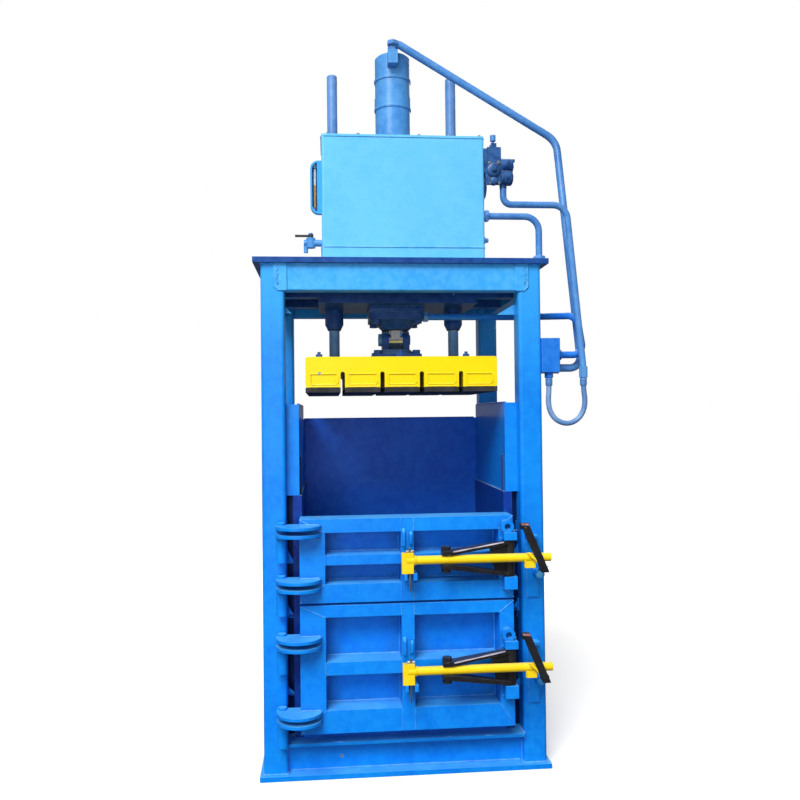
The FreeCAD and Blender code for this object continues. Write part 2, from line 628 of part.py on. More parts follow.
def power_unit():
    """Motor, its rotor, pump, valve and lever."""
    axis = ("motor_y", "motor_axis")
    shell = fuse(rod(("0", *axis), "motor_round/2-5", "motor_long-50", "X"),
                 rod(("0-14", *axis), "motor_round/2+8", "14", "X"),
                 rod(("motor_long-50", *axis), "motor_round/2", "60", "X"),
                 box(("90", "motor_y-45", "motor_axis+motor_round/2-20"), ("110", "90", "60")),
                 box(("50", "motor_y-110", "roof_top"), ("230", "220", "foot_plate")),
                 box(("60", "motor_y-60", "roof_top+foot_plate"), ("210", "120", "motor_high-60")))
    hollow = [rod(("12", *axis), "motor_round/2-20", "motor_long-74", "X"),
              rod(("motor_long-42", *axis), "motor_round/2-8", "44", "X"),
              rod(("0-20", *axis), "shaft_round/2+fit_gap", "motor_long-18", "X")]
    for step in range(8):
        turn = math.radians(45 * step)
        hollow.append(rod(("motor_long", f"motor_y+{55 * math.cos(turn):.3f}",
                           f"motor_axis+{55 * math.sin(turn):.3f}"), "13", "20", "X"))
    node("motor", cut(shell, *hollow))

    turned = fuse(rod(("0-190", *axis), "shaft_round/2", "motor_long+180", "X"), rod(("60", *axis), "62", "180", "X"),
                  rod(("0-62", *axis), "30", "36", "X"), rod(("motor_long-34", *axis), "34", "28", "X"))
    blades = []
    for step in range(7):
        blade = box(("0", "0", "0"), ("26", "6", "76"))
        blade.Placement = FreeCAD.Placement(VECTOR(), FreeCAD.Rotation(VECTOR(1, 0, 0), 360 / 7 * step))
        blades.append(place(blade, ("motor_long-34", *axis)))
    node("motor_rotor", fuse(turned, *blades))

    bell = cut(rod(("0-110", *axis), "62", "95.6", "X"), rod(("0-98", *axis), "50", "100", "X"))
    flange = cut(rod(("0-26", *axis), "motor_round/2+6", "11.6", "X"), rod(("0-30", *axis), "50", "30", "X"))
    block = box(("0-230", "motor_y-55", "motor_axis-65"), ("120", "110", "130"))
    body = fuse(bell, flange, block)
    node("pump", cut(body, rod(("0-191", *axis), "shaft_round/2+fit_gap", "100", "X")))

    body = fuse(box(("tank_right", "valve_y-30", "valve_low+10"), ("15", "90", "100")),
                box(("tank_right+15", "valve_y-25", "valve_low"), ("58", "80", "118")),
                rod(("tank_right+73", "valve_y", "valve_low+45"), "31", "51", "X"),
                rod(("tank_right+85", "valve_y", "valve_low-50"), "15", "70"))
    ears = [box(("tank_right+32", f"valve_y{ahead}", "valve_low+118"), ("24", "6", "20"))
            for ahead in ("-16", "+10")]
    pin = rod(("tank_right+44", "valve_y-16", "valve_low+130"), "4", "32", "Y")
    node("valve_body", fuse(body, *ears, pin))
    lever = fuse(rod(("tank_right+44", "valve_y-9", "valve_low+130"), "9", "18", "Y"),
                 rod(("tank_right+44", "valve_y", "valve_low+130"), "5", "34"),
                 rod(("tank_right+44", "valve_y", "valve_low+150"), "12", "24"))
    node("valve_lever", cut(lever, rod(("tank_right+44", "valve_y-20", "valve_low+130"), "4+fit_gap", "40", "Y")))


HOSE_ROUTE = ((612, -466, 1598), (612, -466, 1550), (607, -467, 1502), (614, -468, 1455),
              (641, -469, 1419), (684, -470, 1404), (727, -471, 1418), (755, -472, 1453),
              (764, -473, 1500), (757, -473, 1549), (757, -473, 1598))


def pipework():
    """Rigid pipes, the side manifold and the hose that hangs below it."""
    front, right, ram_y = value("front"), value("tank_right"), value("ram_y")
    box_right, roof, side = value("box_right"), value("roof_top"), value("frame_wide/2")
    port_low, rod_port = value("box_low+23"), value("box_low+76")

    def pipe(points, alias, bends, *fittings):
        tube, _ = bent_tube(points, value(alias + "/2"), bends)
        return fuse(shaped(tube), *fittings)

    port = value("barrel_top+8+port_high")
    ahead = value("ram_y-barrel_out-port_ahead")
    points = [(-7, ahead, port), (-7, ahead, port + 46), (side + 160, front + 300, roof + 596),
              (side + 200, front + 104, port_low), (box_right, front + 104, port_low)]
    node("cap_pipe", pipe(points, "pipe_cap", (24, 90, 50),
                          hexagon(("0-7", "ram_y-barrel_out-port_ahead", "barrel_top+8+port_high"), "38", "16"),
                          hexagon(("box_right", "front+104", "box_low+23"), "42", "20", "X")))
    gland = value("barrel_low-gland_plate/2")
    half = value("flange_side/2")
    points = [(half, ram_y - 60, gland), (side + 25, ram_y - 60, gland), (side + 170, front + 62, gland - 26),
              (side + 197, front + 62, rod_port), (box_right, front + 62, rod_port)]
    node("rod_pipe", pipe(points, "pipe_rod", (70, 60, 40),
                          hexagon(("flange_side/2", "ram_y-60", "barrel_low-gland_plate/2"), "32", "22", "X"),
                          hexagon(("box_right", "front+62", "box_low+76"), "38", "20", "X")))
    valve_y, valve_low = value("valve_y"), value("valve_low")
    nose = right + 85
    points = [(nose, valve_y, valve_low - 50), (nose, valve_y, roof + 238), (side + 127, valve_y, roof + 238),
              (side + 182, front + 22, value("box_low+20"))]
    supply = pipe(points, "pipe_valve", (34, 60),
                  hexagon(("frame_wide/2+182", "front+22", "box_low-22"), "32", "46"))
    points = [(right, valve_y, roof + 188), (side + 8, valve_y, roof + 188), (side + 8, valve_y, roof)]
    back = pipe(points, "pipe_valve", (60,), hexagon(("frame_wide/2+8", "valve_y", "roof_top"), "36", "18"),
                hexagon(("tank_right", "valve_y", "roof_top+188"), "36", "14", "X"))
    node("valve_pipes", group(supply, back))

    tank_back, motor_y, axis = value("tank_front+tank_deep"), value("motor_y"), value("motor_axis")
    suction = rod(("0-170", "tank_front+tank_deep", "motor_axis-35"), "16",
                  "motor_y-55-tank_front-tank_deep", "Y")
    points = [(-170, motor_y, axis + 65), (-170, motor_y, axis + 205), (392, motor_y, axis + 205),
              (392, tank_back - 40, axis + 205), (392, tank_back - 40, valve_low + 60),
              (392, valve_y + 55, valve_low + 60)]
    pressure = pipe(points, "tube_round", (40, 40, 40, 30, 30))
    node("pump_pipes", group(suction, pressure))

    block = box(("frame_wide/2", "front+2", "box_low"), ("box_wide", "box_deep", "box_high"))
    block = rounded(block, "6", (0, 0, 1))
    node("side_manifold", fuse(block, hexagon(("frame_wide/2+37", "front+29", "box_low-22"), "32", "23")))

    spots = [VECTOR(*point) for point in HOSE_ROUTE]
    bends = []
    for before, corner, after in zip(spots, spots[1:], spots[2:]):
        entry, leave = corner.sub(before), after.sub(corner)
        bends.append(0.45 * min(entry.Length, leave.Length) / math.tan(entry.getAngle(leave) / 2))
    tube, length = bent_tube(HOSE_ROUTE, value("hose_round/2"), bends)
    expected = math.pi * value("hose_round/2") ** 2 * length
    print("hose length", round(length), "radii", [round(bend) for bend in bends],
          "volume share", round(tube.Volume / expected, 4))
    node("hose_loop", shaped(tube))


DOORS = {
    "upper": ("upper_low", "upper_high", ("upper_high-54", "upper_low+148", "upper_low"),
              ("54", "39", "73"), "upper_latch", ("upper_high-23", "upper_low+97")),
    "lower": ("lower_low", "lower_high", ("lower_high-47", "lower_low+227", "lower_low"),
              ("47", "51", "90"), "lower_latch", ("lower_high-120", "lower_low+91")),
}


def hinge_arm(level):
    """Curved plate from a hinge barrel round the door's front left edge."""
    disc = rod(("0-door_left-4", "door_front+10", level), "arm_round", "arm_thick")
    behind = box(("0-door_left", "door_front", f"{level}-1"), ("300", "300", "arm_thick+2"))
    rear = box(("0-door_left-200", "hinge_y+barrel_round/2-5", f"{level}-1"), ("300", "300", "arm_thick+2"))
    beside = box(("hinge_x-200-barrel_round/2", "hinge_y-200", f"{level}-1"), ("200", "400", "arm_thick+2"))
    return cut(disc, behind, rear, beside)


def door(name):
    """One welded door: plate, hollow frame, hinge sleeves, arms and latch lugs."""
    low, high, rail_lows, rail_highs, latch, hinges = DOORS[name]
    deep = "door_deep"
    outer = box(("0-door_left", "door_front", low), ("door_left+door_right", deep, f"{high}-{low}"))
    columns = [("0-door_left+stile_left", "0-24"), ("stile_mid-24", "door_right-stile_right")]
    tools = []
    for left, right in columns:
        for row in (0, 1):
            base = f"{rail_lows[row + 1]}+{rail_highs[row + 1]}"
            tools.append(box((left, "door_front-1", base),
                             (f"({right})-({left})", f"{deep}-door_plate+1", f"{rail_lows[row]}-({base})")))
    depth = (f"door_front+door_wall", f"{deep}-door_wall-door_plate")
    for rail_low, rail_high in zip(rail_lows, rail_highs):
        tools.append(box(("0-door_left+door_wall", depth[0], f"{rail_low}+door_wall"),
                         ("door_left+door_right-2*door_wall", depth[1], f"{rail_high}-2*door_wall")))
    for left, wide in (("0-door_left", "stile_left"), ("0-24", "stile_mid"),
                       ("door_right-stile_right", "stile_right")):
        tools.append(box((f"{left}+door_wall", depth[0], f"{low}+door_wall"),
                         (f"{wide}-2*door_wall", depth[1], f"{high}-{low}-2*door_wall")))
    parts = [cut(outer, *tools)]
    for top in hinges:
        for drop in ("arm_thick/2", "arm_drop+arm_thick/2"):
            parts.append(hinge_arm(f"{top}-{drop}-arm_thick/2"))
        parts.append(rod(("hinge_x", "hinge_y", f"{top}-hinge_grip"), "barrel_round/2", "hinge_grip"))
    lug_left = "yoke_side-26"
    reach = "door_front-yoke_y+yoke_tube/2+6"
    for base, tall in ((f"{latch}+66", "30"), (f"{latch}-128", "49.6")):
        parts.append(box((lug_left, "yoke_y-yoke_tube/2-6", base), ("52", reach, tall)))
    parts.append(rod(("yoke_side", "yoke_y", f"{latch}-120"), "yoke_pin/2", "222"))
    parts.append(rod(("yoke_side-8", "door_front-34", f"{latch}+118"), "26", "34", "Y"))
    fork = box(("0-20", "bar_y-16", f"{latch}-76"), ("52", "door_front-bar_y+16", "25"))
    slot = box(("safety_side-11", "bar_y-20", f"{latch}-80"), ("24", "36", "40"))
    eye = rod(("yoke_side-8", "door_front-40", f"{latch}+118"), "12", "39", "Y")
    tools = [rod(("hinge_x", "hinge_y", f"{top}-hinge_grip-1"), "hinge_pin/2+fit_gap", "hinge_grip+20")
             for top in hinges]
    node(f"{name}_door", cut(fuse(*parts, cut(fork, slot)), eye, *tools))


def hinge_pins():
    """Fixed lower sockets on the front left post, each with its standing pin and cap."""
    pins = []
    for low, high, rail_lows, rail_highs, latch, hinges in DOORS.values():
        for top in hinges:
            spot = ("hinge_x", "hinge_y")
            socket_low = f"{top}-hinge_long"
            pins.append(fuse(rod((*spot, socket_low), "barrel_round/2", "hinge_long-hinge_grip-run_gap"),
                             rod((*spot, socket_low), "hinge_pin/2", "hinge_long+4"),
                             rod((*spot, f"{top}+run_gap"), "hinge_pin/2+5", "9"),
                             box(("hinge_x-16", "hinge_y", socket_low),
                                 ("32", "hinge_ahead", "hinge_long-hinge_grip-run_gap"))))
    node("hinge_pins", group(*pins))


def latch(name):
    """Yoke with its bolt, bar, hook and safety pin of one door."""
    height = DOORS[name][4]
    pivot = ("yoke_side", "yoke_y")
    arms = []
    for sign in (1, -1):
        near, far = ("17.6", "50") if sign > 0 else ("17.6", "64")
        thick = "14"
        outline = [("apex_side-18", f"{height}+{sign}*{near}"),
                   ("apex_side+20", f"{height}+{sign}*{near}"),
                   ("yoke_side", f"{height}+{sign}*{far}"),
                   ("yoke_side", f"{height}+{sign}*({far}+{thick})"),
                   ("apex_side-18", f"{height}+{sign}*({near}+{thick})")]
        if sign < 0:
            outline.reverse()
        arm = extrusion("XZ", [outline], "80", ("0", "yoke_y+20", "0"))
        plan = [("apex_side-18", "bar_y-20"), ("apex_side+20", "bar_y-20"), ("yoke_side", "yoke_y-20"),
                ("yoke_side", "yoke_y+14"), ("apex_side-18", "bar_y+20")]
        trim = extrusion("XY", [plan], "260", ("0", "0", f"{height}-130"))
        both = fresh("Part::Common", "arm")
        both.Base, both.Tool = arm, trim
        arms.append(both)
    tube = rod((*pivot, f"{height}-78"), "yoke_tube/2", "143.6")
    apex = ("apex_side", "bar_y")
    bolt = fuse(rod((*apex, f"{height}-50"), "bolt_round/2", "100"),
                hexagon((*apex, f"{height}+31.6"), "32", "20"),
                hexagon((*apex, f"{height}-50"), "32", "18.4"))
    body = fuse(*arms, tube)
    body = cut(body, rod((*pivot, f"{height}-90"), "yoke_pin/2+fit_gap", "180"))
    node(f"{name}_yoke", fuse(body, bolt))

    bar = fuse(rod(("0-bar_left+20", "bar_y", height), "bar_round/2", "bar_right+bar_left-20", "X"),
               box(("0-bar_left", "bar_y-14", f"{height}-50"), ("46", "28", "80")),
               box(("bar_right-104", "bar_y-12", f"{height}-40"), ("40", "24", "30")))
    bores = [rod((*apex, f"{height}-40"), "bolt_round/2+fit_gap", "80"),
             rod(("safety_side", "bar_y", f"{height}-60"), "safety_round/2+fit_gap", "100")]
    node(f"{name}_bar", cut(bar, *bores))

    front = "bar_y-bar_round/2"
    strip = [("bar_right-126", f"{height}+140"), ("bar_right-44", f"{height}-56"),
             ("bar_right-12", f"{height}-56"), ("bar_right-94", f"{height}+140")]
    strip.reverse()
    hook = fuse(extrusion("XZ", [strip], "14", ("0", front, "0")),
                box(("bar_right-120", front, f"{height}+112"), ("22", "30", "22")),
                box(("bar_right-42", front, f"{height}-56"), ("26", "46", "22")))
    node(f"{name}_hook", hook)

    pin = fuse(rod(("safety_side", "bar_y", f"{height}-78"), "safety_round/2", "128"),
               rod(("safety_side-16", "bar_y", f"{height}+35+run_gap"), "5", "32", "X"))
    node(f"{name}_safety_pin", pin)


def keepers():
    """Seats on the front right post behind the two latch bars."""
    seats = []
    for name in DOORS:
        height = DOORS[name][4]
        seats.append(fuse(box(("post_in+21", "front-10", f"{height}-183"), ("46", "10", "243")),
                          rod(("post_in+61", "front-56", f"{height}-84"), "20", "56", "Y"),
                          box(("post_in+13", "front-50", f"{height}+60"), ("44", "50", "12"))))
    node("latch_keepers", group(*seats))


base_and_posts()
top_frame()
chamber()
ram()
cylinder()
oil_tank()
power_unit()
pipework()
for door_name in DOORS:
    door(door_name)
    latch(door_name)
hinge_pins()
keepers()
doc.recompute()

faults = [thing.Name for thing in doc.Objects if "Invalid" in thing.State or "Error" in thing.State]
for label, thing in NODES.items():
    if thing.Shape.isNull() or not thing.Shape.isValid() or not thing.Shape.Solids:
        faults.append(label)
if faults:
    raise RuntimeError("failed: " + ", ".join(faults))

os.makedirs("parts", exist_ok=True)
for label, thing in NODES.items():
    thing.Shape.exportStep(os.path.join("parts", f"{label}.step"))
print(len(NODES), "sub-parts written")
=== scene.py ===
"""Looks of an upright recycling baler: welded and painted steel, pipework, latches and studio."""

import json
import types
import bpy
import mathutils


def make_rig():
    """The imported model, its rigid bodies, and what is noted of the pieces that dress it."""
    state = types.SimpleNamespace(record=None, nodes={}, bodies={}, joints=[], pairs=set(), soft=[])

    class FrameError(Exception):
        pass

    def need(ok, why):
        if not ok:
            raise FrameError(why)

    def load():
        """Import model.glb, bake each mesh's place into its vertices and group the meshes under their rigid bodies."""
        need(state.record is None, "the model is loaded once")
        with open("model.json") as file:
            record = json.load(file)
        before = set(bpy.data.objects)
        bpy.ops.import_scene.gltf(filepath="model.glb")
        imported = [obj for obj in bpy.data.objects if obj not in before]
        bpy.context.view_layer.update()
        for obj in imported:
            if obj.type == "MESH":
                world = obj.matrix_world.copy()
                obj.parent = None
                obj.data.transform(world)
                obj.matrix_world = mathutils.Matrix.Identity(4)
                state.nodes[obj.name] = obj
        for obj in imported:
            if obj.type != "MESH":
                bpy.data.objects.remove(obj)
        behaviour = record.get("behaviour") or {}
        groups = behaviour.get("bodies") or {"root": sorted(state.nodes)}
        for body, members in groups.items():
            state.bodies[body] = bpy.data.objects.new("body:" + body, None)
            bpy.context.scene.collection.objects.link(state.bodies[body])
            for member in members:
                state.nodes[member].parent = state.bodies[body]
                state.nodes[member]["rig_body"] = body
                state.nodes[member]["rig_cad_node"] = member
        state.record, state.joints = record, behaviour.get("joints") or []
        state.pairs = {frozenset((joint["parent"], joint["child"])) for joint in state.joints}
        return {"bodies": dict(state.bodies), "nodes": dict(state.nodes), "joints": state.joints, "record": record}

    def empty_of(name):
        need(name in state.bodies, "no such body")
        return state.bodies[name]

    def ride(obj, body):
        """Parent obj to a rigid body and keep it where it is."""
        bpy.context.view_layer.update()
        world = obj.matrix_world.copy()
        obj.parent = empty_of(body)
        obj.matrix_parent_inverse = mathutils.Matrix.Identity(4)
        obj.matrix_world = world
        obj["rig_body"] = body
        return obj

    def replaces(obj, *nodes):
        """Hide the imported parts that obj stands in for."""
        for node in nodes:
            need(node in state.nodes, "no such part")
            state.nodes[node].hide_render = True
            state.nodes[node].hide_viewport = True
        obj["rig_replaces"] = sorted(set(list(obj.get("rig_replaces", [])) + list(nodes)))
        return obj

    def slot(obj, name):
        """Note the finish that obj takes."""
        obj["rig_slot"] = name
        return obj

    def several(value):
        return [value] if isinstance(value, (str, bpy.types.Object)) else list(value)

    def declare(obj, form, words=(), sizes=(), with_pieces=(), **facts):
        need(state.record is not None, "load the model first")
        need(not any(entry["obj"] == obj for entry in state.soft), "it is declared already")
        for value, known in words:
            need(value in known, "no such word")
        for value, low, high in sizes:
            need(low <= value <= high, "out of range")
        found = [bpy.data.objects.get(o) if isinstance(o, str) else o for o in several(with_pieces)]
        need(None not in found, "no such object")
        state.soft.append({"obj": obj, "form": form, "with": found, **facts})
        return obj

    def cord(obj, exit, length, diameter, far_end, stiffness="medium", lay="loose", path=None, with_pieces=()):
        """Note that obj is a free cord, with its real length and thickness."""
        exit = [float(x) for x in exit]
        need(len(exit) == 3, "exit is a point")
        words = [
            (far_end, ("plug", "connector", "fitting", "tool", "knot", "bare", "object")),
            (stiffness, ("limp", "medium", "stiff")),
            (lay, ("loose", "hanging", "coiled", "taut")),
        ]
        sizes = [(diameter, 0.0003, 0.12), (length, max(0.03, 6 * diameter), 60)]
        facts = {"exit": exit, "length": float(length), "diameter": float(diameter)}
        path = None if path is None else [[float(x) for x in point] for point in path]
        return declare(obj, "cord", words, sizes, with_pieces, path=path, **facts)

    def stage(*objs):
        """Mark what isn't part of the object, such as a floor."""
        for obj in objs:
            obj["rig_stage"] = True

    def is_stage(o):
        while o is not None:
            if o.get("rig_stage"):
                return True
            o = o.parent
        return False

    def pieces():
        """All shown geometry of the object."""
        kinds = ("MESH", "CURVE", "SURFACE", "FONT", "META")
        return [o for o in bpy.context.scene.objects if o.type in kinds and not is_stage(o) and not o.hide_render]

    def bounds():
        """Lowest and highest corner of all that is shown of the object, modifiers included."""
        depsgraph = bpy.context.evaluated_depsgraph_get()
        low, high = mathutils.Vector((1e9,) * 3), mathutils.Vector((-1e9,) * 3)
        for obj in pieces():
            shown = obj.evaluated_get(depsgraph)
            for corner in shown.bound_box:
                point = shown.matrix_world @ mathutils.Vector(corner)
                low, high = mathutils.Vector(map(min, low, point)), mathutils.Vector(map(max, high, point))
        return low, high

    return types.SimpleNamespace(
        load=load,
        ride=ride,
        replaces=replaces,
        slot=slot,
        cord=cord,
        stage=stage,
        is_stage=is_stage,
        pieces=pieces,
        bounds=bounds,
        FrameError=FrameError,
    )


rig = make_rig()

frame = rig.load()

import json
import logging
import math
from dataclasses import dataclass
from enum import Enum
from typing import Callable, Iterable, Sequence

import bmesh
import bpy
from mathutils import Matrix, Vector

LOG = logging.getLogger("baler")
MM = 0.001
SHARP_ANGLE = 38.0
FLATS_TO_RADIUS = 1.732
BLOCK_FACES = ((0, 2, 3, 1), (4, 5, 7, 6), (0, 1, 5, 4), (2, 6, 7, 3), (0, 4, 6, 2), (1, 3, 7, 5))
SOCKET_KINDS = {1: "NodeSocketFloat", 3: "NodeSocketVector", 4: "NodeSocketColor"}
UPPER_LATCH, LOWER_LATCH = 882.0, 452.0
UPPER_HINGES, LOWER_HINGES = (1018.0, 808.0), (581.0, 291.0)

Spot = tuple[float, float, float]
Colour = tuple[float, float, float]
Socket = bpy.types.NodeSocket
Node = bpy.types.Node
Given = dict[str, Socket]


class Axis(Enum):
    """Direction that a turned or drawn piece runs along."""

    X = (1.0, 0.0, 0.0)
    Z = (0.0, 0.0, 1.0)
    FORWARD = (0.0, -1.0, 0.0)
    DOWN = (0.0, 0.0, -1.0)


class Body(Enum):
    """Moving bodies that the added pieces ride on."""

    FRAME = "frame"
    RAM = "ram"
    UPPER_DOOR = "upper_door_leaf"
    LOWER_DOOR = "lower_door_leaf"
    UPPER_YOKE = "upper_latch_yoke"
    LOWER_YOKE = "lower_latch_yoke"
    UPPER_BAR = "upper_latch_bar"
    LOWER_BAR = "lower_latch_bar"
    UPPER_PIN = "upper_pin"
    LOWER_PIN = "lower_pin"
    VALVE = "valve_handle"


def srgb(*levels: int) -> Colour:
    """Linear colour of a display colour.

    Args:
        *levels: Red, green and blue from 0 to 255.

    Returns:
        The linear colour.
    """
    shares = (level / 255 for level in levels)
    return tuple(share / 12.92 if share <= 0.04045 else ((share + 0.055) / 1.055) ** 2.4 for share in shares)


def tones(codes: str) -> tuple[Colour, ...]:
    """Linear colours of six-digit colour codes."""
    return tuple(srgb(*bytes.fromhex(code.lstrip("#"))) for code in codes.split())


def place(thing: bpy.types.Object) -> None:
    """Put an object in the scene."""
    bpy.context.scene.collection.objects.link(thing)


def rgba(colour: Colour) -> tuple[float, float, float, float]:
    """Colour with full alpha for a socket."""
    return (*colour, 1.0)


class Patch:
    """Small writer of node trees, for shader groups and materials alike."""

    def __init__(self, tree: bpy.types.NodeTree) -> None:
        """Keep the tree and empty it.

        Args:
            tree: Node tree to write in.
        """
        self.tree = tree
        tree.nodes.clear()

    def add(self, kind: str, **values: object) -> Node:
        """Add a node.

        Args:
            kind: Blender's node type without its ShaderNode prefix.
            **values: Properties of the node by name.

        Returns:
            The new node.
        """
        made = self.tree.nodes.new(kind if kind.startswith("Node") else "ShaderNode" + kind)
        for name, value in values.items():
            setattr(made, name, value)
        return made

    def feed(self, socket: Socket, source: object) -> None:
        """Link a source socket, or set a constant, on an input.

        Args:
            socket: Input to feed.
            source: Socket or constant.
        """
        if isinstance(source, Socket):
            self.tree.links.new(source, socket)
        else:
            socket.default_value = source

    def math(self, operation: str, first: object, second: object = 0.0, third: object = 0.0,
             clamp: bool = False) -> Socket:
        """Maths node's result.

        Args:
            operation: Operation name.
            first: First socket or number.
            second: Second socket or number.
            third: Third socket or number.
            clamp: Whether the result stays within 0 and 1.

        Returns:
            The value socket.
        """
        made = self.add("Math", operation=operation, use_clamp=clamp)
        for socket, source in zip(made.inputs, (first, second, third)):
            self.feed(socket, source)
        return made.outputs[0]

    def place(self, group: bpy.types.NodeTree, where: Socket, **values: object) -> Node:
        """Put a shader group in a material.

        Args:
            group: Group to place.
            where: Position socket.
            **values: Other inputs by name.

        Returns:
            The group node.
        """
        made = self.add("Group", node_tree=group)
        for name, source in {"Vector": where, **values}.items():
            self.feed(made.inputs[name], source)
        return made

    def times(self, first: object, second: object, clamp: bool = False) -> Socket:
        """Product of two values."""
        return self.math("MULTIPLY", first, second, clamp=clamp)

    def line(self, value: object, factor: object, start: object, clamp: bool = False) -> Socket:
        """Value times a factor, plus a start."""
        return self.math("MULTIPLY_ADD", value, factor, start, clamp)

    def vector(self, operation: str, first: object, second: object) -> Node:
        """Vector maths node on two vectors.

        Args:
            operation: Blender's name of the operation.
            first: Socket or numbers.
            second: Socket or numbers.

        Returns:
            The node.
        """
        made = self.add("VectorMath", operation=operation)
        self.feed(made.inputs[0], first)
        self.feed(made.inputs[1], second)
        return made

    def height(self, vector: object) -> Socket:
        """Z of a vector.

        Args:
            vector: Socket or numbers.

        Returns:
            The value socket.
        """
        made = self.add("SeparateXYZ")
        self.feed(made.inputs[0], vector)
        return made.outputs[2]

    def noise(self, vector: object, scale: object, detail: float = 3.0, rough: float = 0.55,
              warp: float = 0.0) -> Socket:
        """Noise value at a position.

        Args:
            vector: Position socket.
            scale: Cells per metre.
            detail: Octaves.
            rough: Share of the finer octaves.
            warp: Distortion.

        Returns:
            The value socket.
        """
        made = self.add("TexNoise")
        self.feed(made.inputs["Vector"], vector)
        self.feed(made.inputs["Scale"], scale)
        made.inputs["Detail"].default_value = detail
        made.inputs["Roughness"].default_value = rough
        made.inputs["Distortion"].default_value = warp
        return made.outputs["Fac"]

    def steps(self, value: object, low: object, high: object, to_low: object = 0.0,
              to_high: object = 1.0) -> Socket:
        """Smooth step between two levels.

        Args:
            value: Socket to map.
            low: Value where the step starts.
            high: Value where it ends.
            to_low: Result at the start.
            to_high: Result at the end.

        Returns:
            The value socket.
        """
        made = self.add("MapRange", interpolation_type="SMOOTHSTEP")
        for socket, source in zip(made.inputs, (value, low, high, to_low, to_high)):
            self.feed(socket, source)
        return made.outputs[0]

    def mix(self, share: object, first: object, second: object,
            blend: str = "MIX") -> Socket:
        """Mix of two colours.

        Args:
            share: How much of the second colour.
            first: First colour.
            second: Second colour.
            blend: Blend type.

        Returns:
            The colour socket.
        """
        made = self.add("Mix", data_type="RGBA", blend_type=blend)
        self.feed(made.inputs[0], share)
        self.feed(made.inputs[6], first)
        self.feed(made.inputs[7], second)
        return made.outputs[2]


def shader_group(name: str, write: Callable[[Patch, Given], dict[str, object]], outputs: Sequence[str],
                 **usual: object) -> bpy.types.NodeTree:
    """Build a node group once.  Its first input is the position.

    Args:
        name: Name of the group.
        write: Function that draws the nodes and returns what feeds each output.
        outputs: Names of the outputs. "Color" is a colour, the rest are numbers.
        **usual: Usual value of each further input: a number, a vector or a colour.

    Returns:
        The group's node tree.
    """
    tree = bpy.data.node_groups.new(name, "ShaderNodeTree")
    patch = Patch(tree)
    tree.interface.new_socket("Vector", in_out="INPUT", socket_type="NodeSocketVector")
    for label, value in usual.items():
        kind = SOCKET_KINDS[len(value) if isinstance(value, tuple) else 1]
        socket = tree.interface.new_socket(label, in_out="INPUT", socket_type=kind)
        socket.default_value = value
    for label in outputs:
        kind = SOCKET_KINDS[4 if label == "Color" else 1]
        tree.interface.new_socket(label, in_out="OUTPUT", socket_type=kind)
    entry, leave = patch.add("NodeGroupInput"), patch.add("NodeGroupOutput")
    for label, source in write(patch, {socket.name: socket for socket in entry.outputs}).items():
        patch.feed(leave.inputs[label], source)
    return tree


